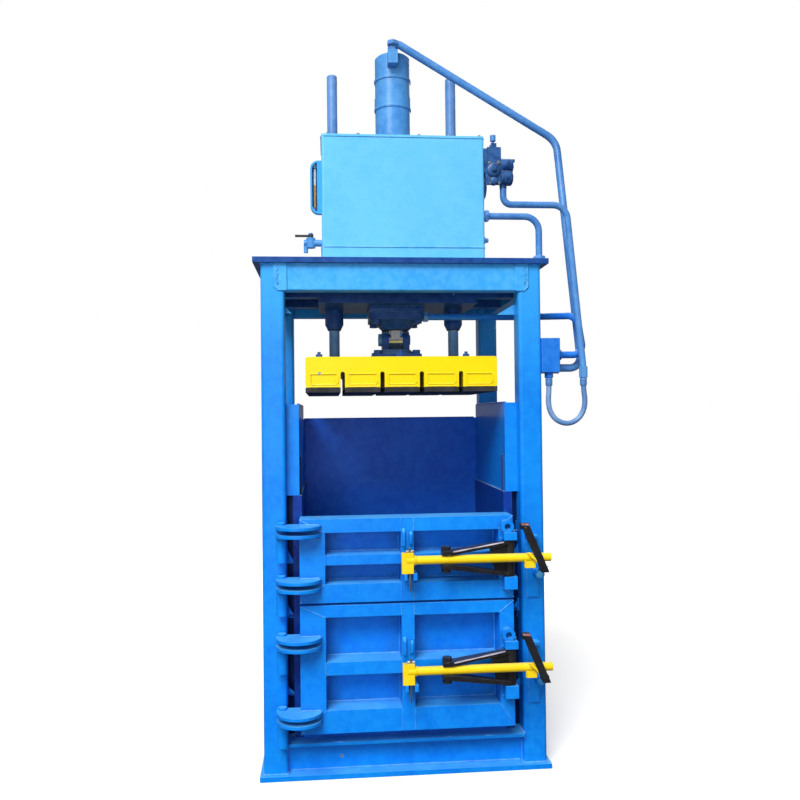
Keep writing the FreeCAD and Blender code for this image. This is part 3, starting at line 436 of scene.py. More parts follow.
class Effects:
    """Shader effects that several finishes share, each built once.  Scales are in cells per metre."""

    CLOUDS, FLECKS, PEEL, WAVES = 2.3, 26.0, 420.0, 34.0
    BREAKS, GRIME, SHAKE = 55.0, 9.0, 30.0
    STREAKS, SCUFFS, LINES, STAINS = 6.0, 2.2, 300.0, 18.0
    CORNER_REACH = 0.08
    SHAKE_REACH = 0.02

    def __init__(self) -> None:
        """Build every group."""
        self.mottle = shader_group("paint mottle", self._mottle, ("Color", "Height"), Coat=(0, 0.3, 0.8, 1),
                                   Deep=(0, 0.2, 0.6, 1), Light=(0.1, 0.5, 1, 1), Amount=0.5)
        self.edges = shader_group("edge wear", self._edges, ("Mask", "Rim"), Width=0.003, Amount=0.5)
        self.grime = shader_group("settled grime", self._grime, ("Mask", "Dust"), Amount=0.4)
        self.chips = shader_group("paint chips", self._chips, ("Mask", "Primer"), Amount=0.3, Scale=14.0)
        self.scuffs = shader_group("scuff marks", self._scuffs, ("Mask",), Amount=0.5)
        self.grain = shader_group("metal grain", self._grain, ("Color", "Value"), Stretch=(1, 1, 1),
                                  Bright=(0.6, 0.6, 0.62, 1), Dull=(0.3, 0.3, 0.32, 1))

    @staticmethod
    def _mottle(patch: Patch, given: Given) -> dict[str, object]:
        """Uneven spray coat: broad clouds, fine flecks and orange peel.

        Args:
            patch: Writer of the group's tree.
            given: Input sockets by name.

        Returns:
            What feeds each output.
        """
        broad = patch.steps(patch.noise(given["Vector"], Effects.CLOUDS, 4, 0.6, 0.4), 0.36, 0.66)
        fine = patch.steps(patch.noise(given["Vector"], Effects.FLECKS, 5, 0.7), 0.40, 0.62)
        tone = patch.times(broad, given["Amount"])
        colour = patch.mix(tone, given["Coat"], given["Deep"])
        lit = patch.times(patch.math("SUBTRACT", 1.0, fine), given["Amount"])
        colour = patch.mix(patch.times(lit, 0.38), colour, given["Light"])
        peel = patch.noise(given["Vector"], Effects.PEEL, 2, 0.5)
        waves = patch.noise(given["Vector"], Effects.WAVES, 2, 0.5)
        height = patch.line(peel, 0.25, patch.times(waves, 0.75))
        return {"Color": colour, "Height": height}

    @staticmethod
    def _edges(patch: Patch, given: Given) -> dict[str, object]:
        """Worn corners, found where the rounded normal leaves the true one, and every edge as a rim that takes a
        painted highlight.

        Args:
            patch: Writer of the group's tree.
            given: Input sockets by name.

        Returns:
            What feeds each output.
        """
        soft = patch.add("Bevel", samples=4)
        patch.feed(soft.inputs["Radius"], given["Width"])
        true = patch.add("NewGeometry")
        dot = patch.vector("DOT_PRODUCT", soft.outputs[0], true.outputs["Normal"])
        rim = patch.steps(dot.outputs["Value"], 0.995, 0.86)
        broken = patch.steps(patch.noise(given["Vector"], Effects.BREAKS, 5, 0.75), 0.56, 0.66)
        return {"Mask": patch.times(patch.times(rim, broken), given["Amount"]),
                "Rim": rim}

    @staticmethod
    def _grime(patch: Patch, given: Given) -> dict[str, object]:
        """Darker tone in the corners, found by occlusion, and a tone on what faces up: dust on most finishes, a
        painted highlight of light from above on the azure ones.

        Args:
            patch: Writer of the group's tree.
            given: Input sockets by name.

        Returns:
            What feeds each output.
        """
        # occlusion within the piece finds its corners; they take a darker tone
        corner = patch.add("AmbientOcclusion", samples=4, only_local=True)
        corner.inputs["Distance"].default_value = Effects.CORNER_REACH
        shut = patch.steps(corner.outputs["AO"], 0.92, 0.35)
        cloud = patch.noise(given["Vector"], Effects.GRIME, 5, 0.65)
        mask = patch.times(patch.times(shut, given["Amount"]),
                          patch.steps(cloud, 0.25, 0.6, 0.45, 1.0), clamp=True)
        up = patch.steps(patch.height(patch.add("NewGeometry").outputs["Normal"]), 0.55, 0.98)
        dust = patch.times(patch.times(up, given["Amount"]),
                          patch.steps(cloud, 0.36, 0.66, 0.75, 1.3), clamp=True)
        return {"Mask": mask, "Dust": dust}

    @staticmethod
    def _chips(patch: Patch, given: Given) -> dict[str, object]:
        """Scattered small chips with a rim of primer.

        Args:
            patch: Writer of the group's tree.
            given: Input sockets by name.

        Returns:
            What feeds each output.
        """
        shake = patch.add("TexNoise")
        shake.inputs["Scale"].default_value = Effects.SHAKE
        patch.feed(shake.inputs["Vector"], given["Vector"])
        shift = patch.vector("MULTIPLY", shake.outputs["Color"], (Effects.SHAKE_REACH,) * 3)
        warped = patch.vector("ADD", given["Vector"], shift.outputs[0])
        cells = patch.add("TexVoronoi")
        patch.feed(cells.inputs["Vector"], warped.outputs[0])
        patch.feed(cells.inputs["Scale"], given["Scale"])
        tint = patch.add("SeparateColor")
        patch.feed(tint.inputs[0], cells.outputs["Color"])
        limit = patch.math("SUBTRACT", 1.0, patch.times(given["Amount"], 0.2))
        chosen = patch.math("GREATER_THAN", tint.outputs[0], limit)
        size = patch.line(tint.outputs[1], 0.10, 0.03)
        spot = patch.math("LESS_THAN", cells.outputs["Distance"], size)
        rim = patch.math("LESS_THAN", cells.outputs["Distance"], patch.math("ADD", size, 0.03))
        return {"Mask": patch.times(chosen, spot), "Primer": patch.times(chosen, rim)}

    @staticmethod
    def _scuffs(patch: Patch, given: Given) -> dict[str, object]:
        """Rubbed streaks that run mostly up and down.

        Args:
            patch: Writer of the group's tree.
            given: Input sockets by name.

        Returns:
            What feeds each output.
        """
        squeeze = patch.add("Mapping")
        patch.feed(squeeze.inputs["Vector"], given["Vector"])
        squeeze.inputs["Scale"].default_value = (9.0, 9.0, 0.9)
        streak = patch.noise(squeeze.outputs[0], Effects.STREAKS, 6, 0.8, 0.3)
        where = patch.steps(patch.noise(given["Vector"], Effects.SCUFFS, 3, 0.5), 0.42, 0.66)
        mask = patch.times(patch.steps(streak, 0.56, 0.70), where)
        return {"Mask": patch.times(mask, given["Amount"])}

    @staticmethod
    def _grain(patch: Patch, given: Given) -> dict[str, object]:
        """Drawn or turned metal: fine lines across a stretched space.

        Args:
            patch: Writer of the group's tree.
            given: Input sockets by name.

        Returns:
            What feeds each output.
        """
        stretch = patch.vector("MULTIPLY", given["Vector"], given["Stretch"])
        lines = patch.noise(stretch.outputs[0], Effects.LINES, 4, 0.65)
        cloud = patch.noise(given["Vector"], Effects.STAINS, 3, 0.6)
        value = patch.line(lines, 0.6, patch.times(cloud, 0.4))
        return {"Color": patch.mix(patch.steps(value, 0.36, 0.64), given["Dull"], given["Bright"]),
                "Value": value}


EFFECTS = Effects()


@dataclass(frozen=True)
class Finish:
    """Base of every finish."""

    name: str

    def make(self) -> bpy.types.Material:
        """Build the material.

        Returns:
            The finished material.
        """
        material = bpy.data.materials.new(self.name)
        material.use_nodes = True
        patch = Patch(material.node_tree)
        shader, leave = patch.add("BsdfPrincipled"), patch.add("OutputMaterial")
        patch.feed(leave.inputs["Surface"], shader.outputs[0])
        where = patch.add("TexCoord").outputs["Object"]
        self.draw(patch, shader, where)
        return material

    def draw(self, patch: Patch, shader: Node, where: Socket) -> None:
        """Write the nodes that feed the shader; each finish has its own.

        Args:
            patch: Writer of the material's tree.
            shader: Shader to feed.
            where: Position socket.
        """
        raise NotImplementedError

    @staticmethod
    def relief(patch: Patch, shader: Node, height: object, depth: float,
               strength: float, round_edge: float) -> None:
        """Feed the normal from a height over slightly rounded edges.

        Args:
            patch: Writer of the tree.
            shader: Shader to feed.
            height: Height socket.
            depth: Relief in metres at full height.
            strength: Bump strength.
            round_edge: Radius of the rounded edges in metres.
        """
        bump = patch.add("Bump")
        bump.inputs["Strength"].default_value = strength
        bump.inputs["Distance"].default_value = depth
        patch.feed(bump.inputs["Height"], height)
        soft = patch.add("Bevel", samples=4)
        soft.inputs["Radius"].default_value = round_edge
        patch.feed(bump.inputs["Normal"], soft.outputs[0])
        patch.feed(shader.inputs["Normal"], bump.outputs[0])


@dataclass(frozen=True)
class Paint(Finish):
    """Sprayed enamel on steel, with mottle, edge wear, chips, scuffs and darker corners, painted highlights on edges
    and up-facing faces, and on some a painted light towards the top.
    """

    coat: Colour
    deep: Colour
    light: Colour
    amount: float = 0.55
    rough: float = 0.34
    gloss: float = 0.22
    wear: float = 0.5
    chip: float = 0.35
    chip_scale: float = 12.0
    corner_and_top_share: float = 0.5
    scuff: float = 0.25
    bare: Colour = (0.42, 0.47, 0.52)
    # darker tone in the corners
    corner_tone: Colour = (0.012, 0.03, 0.07)
    # tone on up-facing faces: grey dust by default, a painted highlight of light from above on the azure finishes
    dust: Colour = (0.30, 0.45, 0.58)
    edge: float = 0.0022
    # pale tone and heights of the painted light towards the top
    height_lit: Colour = (0.06, 0.47, 0.92)
    height_light: float = 0.0
    height_light_from: float = 1.45
    height_light_to: float = 2.15
    # share of the painted edge highlight
    rim_highlight: float = 0.30
    scuff_pale: float = 0.55
    primer_pale: float = 0.6
    bare_metal: float = 0.75
    specular: float = 0.28
    coat_rough: float = 0.16
    relief_deep: float = 0.0011
    relief_strength: float = 0.35

    def draw(self, patch: Patch, shader: Node, where: Socket) -> None:
        """Write the enamel's nodes.

        Args:
            patch: Writer of the material's tree.
            shader: Shader to feed.
            where: Position socket.
        """
        body = patch.place(EFFECTS.mottle, where, Coat=rgba(self.coat), Deep=rgba(self.deep),
                           Light=rgba(self.light), Amount=self.amount)
        worn = patch.place(EFFECTS.edges, where, Width=self.edge * 1.3, Amount=self.wear)
        marked = patch.place(EFFECTS.grime, where, Amount=self.corner_and_top_share)
        chips = patch.place(EFFECTS.chips, where, Amount=self.chip, Scale=self.chip_scale)
        rubbed = patch.place(EFFECTS.scuffs, where, Amount=self.scuff)
        colour = body.outputs["Color"]
        # painted light: the coat pales towards the top, where light falls from above
        if self.height_light:
            pale = patch.steps(patch.height(where), self.height_light_from, self.height_light_to, 0.0, self.height_light)
            colour = patch.mix(pale, colour, rgba(self.height_lit))
        # painted highlight: every edge is mixed towards the light tone
        colour = patch.mix(patch.times(worn.outputs["Rim"], self.rim_highlight), colour, rgba(self.light))
        colour = patch.mix(patch.times(rubbed.outputs["Mask"], self.scuff_pale), colour, rgba(self.light))
        # darker tone in the corners, found by occlusion
        colour = patch.mix(marked.outputs["Mask"], colour, rgba(self.corner_tone))
        # up-facing faces: dust on most finishes, a painted highlight of light from above on the azure ones
        colour = patch.mix(marked.outputs["Dust"], colour, rgba(self.dust))
        colour = patch.mix(patch.times(chips.outputs["Primer"], self.primer_pale), colour, rgba(self.light))
        bare = patch.math("MAXIMUM", worn.outputs["Mask"], chips.outputs["Mask"])
        patch.feed(shader.inputs["Base Color"], patch.mix(bare, colour, rgba(self.bare)))
        rough = patch.line(body.outputs["Height"], 0.12, self.rough - 0.05)
        rough = patch.line(marked.outputs["Mask"], 0.35, rough)
        rough = patch.line(marked.outputs["Dust"], 0.40, rough)
        rough = patch.line(rubbed.outputs["Mask"], 0.18, rough, clamp=True)
        patch.feed(shader.inputs["Roughness"], rough)
        patch.feed(shader.inputs["Metallic"], patch.times(bare, self.bare_metal))
        patch.feed(shader.inputs["Coat Weight"],
                   patch.times(patch.math("SUBTRACT", 1.0, bare), self.gloss))
        shader.inputs["Coat Roughness"].default_value = self.coat_rough
        shader.inputs["Specular IOR Level"].default_value = self.specular
        sunk = patch.line(chips.outputs["Mask"], -0.9, body.outputs["Height"])
        self.relief(patch, shader, sunk, self.relief_deep, self.relief_strength, self.edge)


@dataclass(frozen=True)
class Steel(Finish):
    """Bare or plated metal with a drawn grain and a little stain."""

    bright: Colour
    dull: Colour
    rough: float = 0.30
    stretch: Spot = (1.0, 1.0, 0.08)
    metal: float = 1.0
    stain: Colour = (0.16, 0.10, 0.06)
    corner_and_top_share: float = 0.5
    edge: float = 0.0012

    def draw(self, patch: Patch, shader: Node, where: Socket) -> None:
        """Write the metal's nodes.

        Args:
            patch: Writer of the material's tree.
            shader: Shader to feed.
            where: Position socket.
        """
        grain = patch.place(EFFECTS.grain, where, Stretch=self.stretch,
                            Bright=rgba(self.bright), Dull=rgba(self.dull))
        marked = patch.place(EFFECTS.grime, where, Amount=self.corner_and_top_share)
        colour = patch.mix(marked.outputs["Mask"], grain.outputs["Color"], rgba(self.stain))
        patch.feed(shader.inputs["Base Color"], colour)
        rough = patch.line(grain.outputs["Value"], 0.20, self.rough - 0.08)
        patch.feed(shader.inputs["Roughness"],
                   patch.line(marked.outputs["Mask"], 0.3, rough, clamp=True))
        patch.feed(shader.inputs["Metallic"],
                   patch.times(patch.math("SUBTRACT", 1.0, marked.outputs["Mask"]), self.metal))
        self.relief(patch, shader, grain.outputs["Value"], 0.0004, 0.25, self.edge)


@dataclass(frozen=True)
class Moulded(Finish):
    """Rubber, plastic or cast iron: one colour with a pebbled skin."""

    tone: Colour
    worn: Colour
    rough: float = 0.5
    pebble: float = 260.0
    depth: float = 0.0006
    corner_and_top_share: float = 0.3
    edge: float = 0.001

    def draw(self, patch: Patch, shader: Node, where: Socket) -> None:
        """Write the skin's nodes.

        Args:
            patch: Writer of the material's tree.
            shader: Shader to feed.
            where: Position socket.
        """
        grit = patch.noise(where, self.pebble, 3, 0.6)
        cloud = patch.steps(patch.noise(where, 14.0, 4, 0.6), 0.4, 0.65)
        marked = patch.place(EFFECTS.grime, where, Amount=self.corner_and_top_share)
        worn = patch.place(EFFECTS.edges, where, Width=0.002, Amount=0.6)
        colour = patch.mix(patch.times(cloud, 0.5), rgba(self.tone), rgba(self.worn))
        colour = patch.mix(worn.outputs["Mask"], colour, rgba(self.worn))
        colour = patch.mix(marked.outputs["Dust"], colour, rgba((0.35, 0.42, 0.5)))
        patch.feed(shader.inputs["Base Color"], colour)
        patch.feed(shader.inputs["Roughness"],
                   patch.line(grit, 0.2, self.rough - 0.1, clamp=True))
        self.relief(patch, shader, grit, self.depth, 0.5, self.edge)


@dataclass(frozen=True)
class SightGlass(Finish):
    """Clear level tube, half full of amber oil."""

    clear: Colour = (0.86, 0.93, 0.95)
    oil: Colour = (0.75, 0.45, 0.10)
    level: float = 2.40

    def draw(self, patch: Patch, shader: Node, where: Socket) -> None:
        """Write the glass's nodes.

        Args:
            patch: Writer of the material's tree.
            shader: Shader to feed.
            where: Position socket.
        """
        below = patch.steps(patch.height(where), self.level + 0.002, self.level - 0.002)
        smear = patch.steps(patch.noise(where, 60.0, 4, 0.6), 0.45, 0.7)
        colour = patch.mix(below, rgba(self.clear), rgba(self.oil))
        patch.feed(shader.inputs["Base Color"], patch.mix(patch.times(smear, 0.2), colour,
                                                          rgba((0.5, 0.55, 0.55))))
        patch.feed(shader.inputs["Roughness"], patch.line(smear, 0.2, 0.06))
        shader.inputs["Transmission Weight"].default_value = 0.55
        shader.inputs["IOR"].default_value = 1.47


@dataclass(frozen=True)
class Floor(Finish):
    """Pale studio floor."""

    tone: Colour = (0.97, 0.97, 0.97)
    shade: Colour = (0.95, 0.95, 0.955)
    bounce: Colour = (0.07, 0.08, 0.10)
    lift: float = 0.16

    def draw(self, patch: Patch, shader: Node, where: Socket) -> None:
        """Write the floor's nodes.

        Args:
            patch: Writer of the material's tree.
            shader: Shader to feed.
            where: Position socket.
        """
        cloud = patch.noise(where, 0.6, 3, 0.5)
        pale = patch.mix(patch.times(cloud, 0.2), rgba(self.tone), rgba(self.shade))
        path = patch.add("LightPath")
        bounced = patch.math("MAXIMUM", path.outputs["Is Diffuse Ray"], path.outputs["Is Glossy Ray"])
        patch.feed(shader.inputs["Base Color"], patch.mix(bounced, pale, rgba(self.bounce)))
        patch.feed(shader.inputs["Roughness"], patch.line(cloud, 0.1, 0.75))
        shader.inputs["Specular IOR Level"].default_value = 0.2
        shader.inputs["Emission Color"].default_value = (1.0, 1.0, 1.0, 1.0)
        patch.feed(shader.inputs["Emission Strength"], patch.times(path.outputs["Is Camera Ray"], self.lift))


# azure frame: painted light towards the tops of the posts, and a painted highlight on up-facing faces
AZURE = Paint("azure_enamel", *tones("#0486EC #006CD8 #1EA6FC"), height_light=0.55, dust=srgb(92, 190, 250))
# door: its cyan up-facing tone is a painted highlight of light from above
DOOR_AZURE = Paint("door_enamel", *tones("#0284EE #006EDE #22AAFC"), chip=0.6, chip_scale=9.0, wear=0.65,
                   scuff=0.4, dust=srgb(92, 192, 250))
# top beam: a lighter copy of the frame azure, painted light where the top of the frame is lit
BEAM_TOP_LIT = Paint("beam_enamel", *tones("#38A6F0 #2890E6 #78CEFF"), wear=0.6, corner_and_top_share=0.4)
CHAMBER = Paint("chamber_enamel", *tones("#1660D6 #0E4CBA #3082EC"), wear=0.7, chip=0.7, scuff=0.9,
                rough=0.38, corner_and_top_share=0.6)
SKY = Paint("tank_enamel", *tones("#64C0F4 #50B2F0 #88D2F8"), amount=0.45, wear=0.25, chip=0.12, rough=0.30,
            corner_and_top_share=0.35, corner_tone=(0.03, 0.10, 0.2))
# dark navy: the bolts' and gauge plate's own paint, and a darker copy of the cylinder blue as painted shade on parts
# under the roof
NAVY_AND_SHADE = Paint("ram_enamel", *tones("#18428C #0E2C68 #3C76C4"), wear=0.7, chip=0.5, rough=0.36, corner_and_top_share=0.7)
CYLINDER = Paint("cylinder_enamel", *tones("#4A94D8 #2C70BA #82C4F0"), wear=0.4, chip=0.25)
# roof plate: a darker copy of the frame blue, painted shade on its underside
ROOF_SHADE = Paint("roof_enamel", *tones("#0E428C #083070 #3278CE"), wear=0.5)
# gap plates: a near-black navy that stands in for the shade in the gaps beside the chamber
GAP_SHADE = Paint("gap_enamel", *tones("#08225C #04143E #143E8C"), corner_and_top_share=0.8)
VALVE = Paint("valve_enamel", *tones("#103A7A #062050 #60A8EC"), chip=0.5, chip_scale=30.0, wear=0.8,
              corner_and_top_share=0.8, edge=0.0015)
GUIDE = Paint("guide_enamel", *tones("#6090CE #3864A8 #96C2EC"), chip=0.4, wear=0.5, scuff=0.7)
PIPE_AZURE = Paint("azure_pipe_enamel", *tones("#1670D8 #0850B4 #46A0F4"), wear=0.5, edge=0.0015)
# lower chamber walls: a darker copy of the azure, painted shade inside the chamber
WALL_SHADE = Paint("wall_enamel", *tones("#06348C #04246A #185CC4"), wear=0.7, chip=0.6, scuff=0.8, corner_and_top_share=0.7)
PIPE = Paint("pipe_enamel", *tones("#4E8CD2 #245CA6 #7EB4E4"), wear=0.4, chip=0.4, chip_scale=26.0,
             edge=0.0015)
YELLOW = Paint("platen_enamel", *tones("#FADC02 #F0C600 #FFEC1E"), amount=0.35, wear=0.45, chip=0.35,
               rough=0.30, corner_and_top_share=0.45, corner_tone=(0.16, 0.11, 0.01), dust=(0.72, 0.66, 0.22))
BAR_YELLOW = Paint("bar_enamel", *tones("#FAD60E #ECBC04 #FFF05A"), amount=0.35, wear=0.7, chip=0.7,
                   chip_scale=30.0, rough=0.28, corner_and_top_share=0.4, corner_tone=(0.16, 0.11, 0.01), dust=(0.72, 0.66, 0.22),
                   edge=0.0015)
BLACK = Paint("latch_enamel", coat=(0.012, 0.012, 0.014), deep=(0.006, 0.006, 0.008),
              light=(0.06, 0.06, 0.07), amount=0.35, rough=0.34, wear=0.6, chip=0.45, chip_scale=32.0,
              corner_and_top_share=0.3, bare=(0.55, 0.52, 0.54), corner_tone=(0.02, 0.016, 0.014), dust=(0.10, 0.11, 0.13),
              edge=0.0018)
# pale pinkish edge tone: rubbed wear and a painted highlight on the black yoke
RUBBED_AND_LIT = Paint("rubbed_edge", *tones("#C4B8C8 #786C7C #F4EEF6"), amount=0.9, wear=0.2, chip=0.3,
               chip_scale=50.0)
PAD = Moulded("pad_black", tone=(0.012, 0.012, 0.014), worn=(0.05, 0.05, 0.055), rough=0.7, pebble=160.0,
              depth=0.0012)
PRIMER = Paint("primer_pink", *tones("#966266 #6E464A #C8A09E"), wear=0.9, chip=0.8, chip_scale=40.0,
               bare=(0.6, 0.58, 0.58))
BRIGHT = Steel("ground_steel", bright=(0.72, 0.72, 0.74), dull=(0.48, 0.48, 0.51))
CHROME = Steel("chromed_rod", bright=(0.78, 0.79, 0.81), dull=(0.6, 0.61, 0.64), rough=0.16, corner_and_top_share=0.3)
DARK = Steel("oiled_steel", bright=(0.24, 0.26, 0.30), dull=(0.10, 0.11, 0.13), rough=0.42)
BOLT = Steel("zinc_bolt", bright=(0.40, 0.44, 0.50), dull=(0.22, 0.26, 0.32), rough=0.38, stretch=(1, 1, 1))
CAST = Moulded("cast_iron", tone=(0.10, 0.11, 0.12), worn=(0.22, 0.23, 0.25), rough=0.6, pebble=120.0,
               depth=0.0015)
HOSE = Moulded("hose_cover", tone=srgb(88, 130, 184), worn=srgb(140, 178, 218), rough=0.42, pebble=420.0,
               depth=0.0003)
CAP = Moulded("cap_black", tone=(0.02, 0.02, 0.022), worn=(0.08, 0.08, 0.085), rough=0.42)
WELD = Paint("weld_azure", *tones("#1A96F4 #0470DE #6EC4FF"), amount=0.9, wear=0.6, chip=0.8, chip_scale=60.0,
             rough=0.30, edge=0.001)
# pale weld tone: the tank's own light paint on its seams, and a painted highlight on the keeper bosses and door lugs
PALE_WELD_AND_HIGHLIGHT = Paint("weld_sky", *tones("#54BAF6 #2E94E6 #8CD6FF"), amount=0.9, wear=0.5, chip=0.5,
                 chip_scale=60.0, rough=0.30, edge=0.001)
GLASS = SightGlass("sight_glass")
FLOOR = Floor("studio_floor")

NODES_OF: dict[Finish, str] = {
    AZURE: "front_left_post front_right_post rear_left_post rear_right_post base_plate front_sill "
           "base_channels side_rails top_channels hinge_pins latch_keepers level_gauge left_upper_panel "
           "right_upper_panel",
    DOOR_AZURE: "upper_door lower_door",
    BEAM_TOP_LIT: "front_top_beam",
    ROOF_SHADE: "roof_plate",
    GUIDE: "guide_rods",
    VALVE: "valve_body",
    CHAMBER: "chamber_floor back_wall",
    WALL_SHADE: "left_lower_wall right_lower_wall",
    PIPE_AZURE: "rod_pipe side_manifold",
    SKY: "tank tank_lid",
    NAVY_AND_SHADE: "cylinder_cradle guide_sleeves rod_foot cylinder_gland platen_bolts frame_bolts",
    CYLINDER: "cylinder_barrel cylinder_cap drain_tap",
    PIPE: "cap_pipe valve_pipes pump_pipes motor rod_pin valve_lever",
    YELLOW: "platen",
    BAR_YELLOW: "upper_bar lower_bar",
    BLACK: "upper_yoke lower_yoke upper_hook lower_hook",
    PAD: "platen_pads",
    BRIGHT: "upper_safety_pin lower_safety_pin",
    CHROME: "piston_rod piston",
    DARK: "motor_rotor",
    CAST: "pump",
    CAP: "filler_cap drain_handle",
}

SLOT_FINISHES: dict[str, tuple[Finish, ...]] = {
    "frame_blue": (AZURE, DOOR_AZURE, BEAM_TOP_LIT, WELD, PALE_WELD_AND_HIGHLIGHT),
    "chamber_blue": (CHAMBER, GAP_SHADE),
    "tank_blue": (SKY,),
    "pipe_blue": (PIPE, VALVE),
    "ram_blue": (NAVY_AND_SHADE, CYLINDER),
    "platen_yellow": (YELLOW,),
    "bar_yellow": (BAR_YELLOW,),
    "latch_black": (BLACK, PRIMER),
    "pad_black": (PAD,),
    "cap_black": (CAP,),
    "bright_steel": (BRIGHT, RUBBED_AND_LIT, GLASS),
    "dark_steel": (BOLT,),
}
SLOTS = {finish: slot for slot, finishes in SLOT_FINISHES.items() for finish in finishes}


class Paints:
    """Store of the materials, each made the first time it is asked for."""

    made: dict[str, bpy.types.Material] = {}

    @classmethod
    def of(cls, finish: Finish) -> bpy.types.Material:
        """Material of a finish.

        Args:
            finish: Finish asked for.

        Returns:
            Its material.
        """
        if finish.name not in cls.made:
            cls.made[finish.name] = finish.make()
        return cls.made[finish.name]

    @classmethod
    def dress_nodes(cls) -> None:
        """Give every carried-over sub-part its finish."""
        for finish, names in NODES_OF.items():
            for name in names.split():
                for slot in frame["nodes"][name].material_slots:
                    slot.link = "OBJECT"
                    slot.material = cls.of(finish)
            LOG.info("%s: %s", finish.name, names)


class Shop:
    """Mesh work shared by the sub-assemblies.  Lengths are in millimetres, meshes in metres."""

    def __init__(self) -> None:
        """Start with an empty mesh."""
        self.mesh = bmesh.new()

    @staticmethod
    def ring_frame(along: Vector) -> tuple[Vector, Vector]:
        """Two directions square to one.

        Args:
            along: Direction to be square to.

        Returns:
            The two directions.
        """
        aside = Vector((0, 0, 1)) if abs(along.z) < 0.9 else Vector((1, 0, 0))
        first = along.cross(aside).normalized()
        return first, along.cross(first).normalized()

    def loops(self, rings: Sequence[Sequence[Vector]], closed: bool = False, capped: bool = True) -> None:
        """Skin a run of equal rings.

        Args:
            rings: Rings of positions in millimetres.
            closed: Whether the last ring joins the first.
            capped: Whether open ends are filled.
        """
        made = [[self.mesh.verts.new(spot * MM) for spot in ring] for ring in rings]
        count = len(made[0])
        pairs = list(zip(made, made[1:])) + ([(made[-1], made[0])] if closed else [])
        for near, far in pairs:
            for step in range(count):
                after = (step + 1) % count
                self.mesh.faces.new((near[step], near[after], far[after], far[step]))
        if capped and not closed:
            self.mesh.faces.new(list(reversed(made[0])))
            self.mesh.faces.new(made[-1])

    def lathe(self, start: Spot, along: Axis, profile: Sequence[tuple[float, float]],
              around: int = 40, wave: Callable[[float], float] | None = None) -> "Shop":
        """Turned piece from (distance, radius) pairs.

        Args:
            start: Start of the axis.
            along: Axis of turning.
            profile: Distances along the axis and radii there.
            around: Sides of each ring.
            wave: Factor on the radius by angle, for flutes or fins.

        Returns:
            This shop, for chaining.
        """
        axis = Vector(along.value)
        first, second = self.ring_frame(axis)
        rings = []
        for reach, radius in profile:
            ring = []
            for step in range(around):
                turn = 2 * math.pi * step / around
                out = radius * (wave(turn) if wave else 1.0)
                aside = (first * math.cos(turn) + second * math.sin(turn)) * out
                ring.append(Vector(start) + axis * reach + aside)
            rings.append(ring)
        self.loops(rings)
        return self

    def tube(self, path: Sequence[Spot], radius: Callable[[float], float] | float, around: int = 10,
             flat: float = 1.0) -> None:
        """Round bar along a path.

        Args:
            path: Positions along the middle.
            radius: Radius, or a function of the distance along.
            around: Sides.
            flat: Factor on the height of the section.
        """
        spots = [Vector(spot) for spot in path]
        rings, travelled = [], 0.0
        for step, spot in enumerate(spots):
            before, after = spots[max(step - 1, 0)], spots[min(step + 1, len(spots) - 1)]
            if step:
                travelled += (spot - spots[step - 1]).length
            first, second = self.ring_frame((after - before).normalized())
            size = radius(travelled) if callable(radius) else radius
            rings.append([spot + first * (size * math.cos(2 * math.pi * side / around))
                          + second * (size * flat * math.sin(2 * math.pi * side / around))
                          for side in range(around)])
        self.loops(rings)

    def bead(self, path: Sequence[Spot], size: float = 4.0, pitch: float = 6.0) -> None:
        """Weld bead: a rippled, slightly wandering round run.

        Args:
            path: Corners of the run.
            size: Radius of the bead.
            pitch: Distance between ripples.
        """
        spots = [Vector(spot) for spot in path]
        fine: list[Vector] = []
        for near, far in zip(spots, spots[1:]):
            count = max(2, int((far - near).length / (pitch / 3)))
            fine += [near.lerp(far, step / count) for step in range(count)]
        fine.append(spots[-1])

        def ripple(reach: float) -> float:
            """Radius along the bead.

            Args:
                reach: Distance from the start.

            Returns:
                The radius there.
            """
            scale = abs(math.sin(math.pi * reach / pitch))
            drift = math.sin(reach * 0.071 + spots[0].x) * math.sin(reach * 0.023 + spots[0].z)
            return size * (0.74 + 0.26 * scale + 0.10 * drift)
        self.tube(fine, ripple, 8)

    def block(self, corner: Spot, size: Spot, round_edge: float = 1.5) -> None:
        """Plate or block with rounded edges.

        Args:
            corner: Lowest corner.
            size: Lengths along X, Y and Z.
            round_edge: Radius of its edges.
        """
        low, lengths = Vector(corner), Vector(size)
        places = [low + Vector((lengths.x * x, lengths.y * y, lengths.z * z))
                  for z in (0, 1) for y in (0, 1) for x in (0, 1)]
        self.hull(places, BLOCK_FACES, round_edge)

    def hull(self, places: Iterable[Vector], faces: Sequence[Sequence[int]], round_edge: float) -> None:
        """Closed form from corners and faces, its edges rounded.

        Args:
            places: Corners.
            faces: Corner numbers of each face.
            round_edge: Radius of its edges.
        """
        verts = [self.mesh.verts.new(spot * MM) for spot in places]
        made = [self.mesh.faces.new([verts[index] for index in face]) for face in faces]
        if round_edge > 0:
            edges = dict.fromkeys(edge for face in made for edge in face.edges)
            bmesh.ops.bevel(self.mesh, geom=list(edges), offset=round_edge * MM, segments=2, profile=0.5,
                            affect="EDGES")

    def slab(self, outline: Sequence[Spot], shift: Spot, round_edge: float = 1.0) -> None:
        """Plate from a flat outline and the shift to its other face.

        Args:
            outline: Corners of one face.
            shift: Way to the other face.
            round_edge: Radius of its edges.
        """
        near = [Vector(spot) for spot in outline]
        count = len(near)
        places = near + [spot + Vector(shift) for spot in near]
        faces = [tuple(reversed(range(count))), tuple(range(count, 2 * count))]
        for step in range(count):
            after = (step + 1) % count
            faces.append((step, after, count + after, count + step))
        self.hull(places, faces, round_edge)

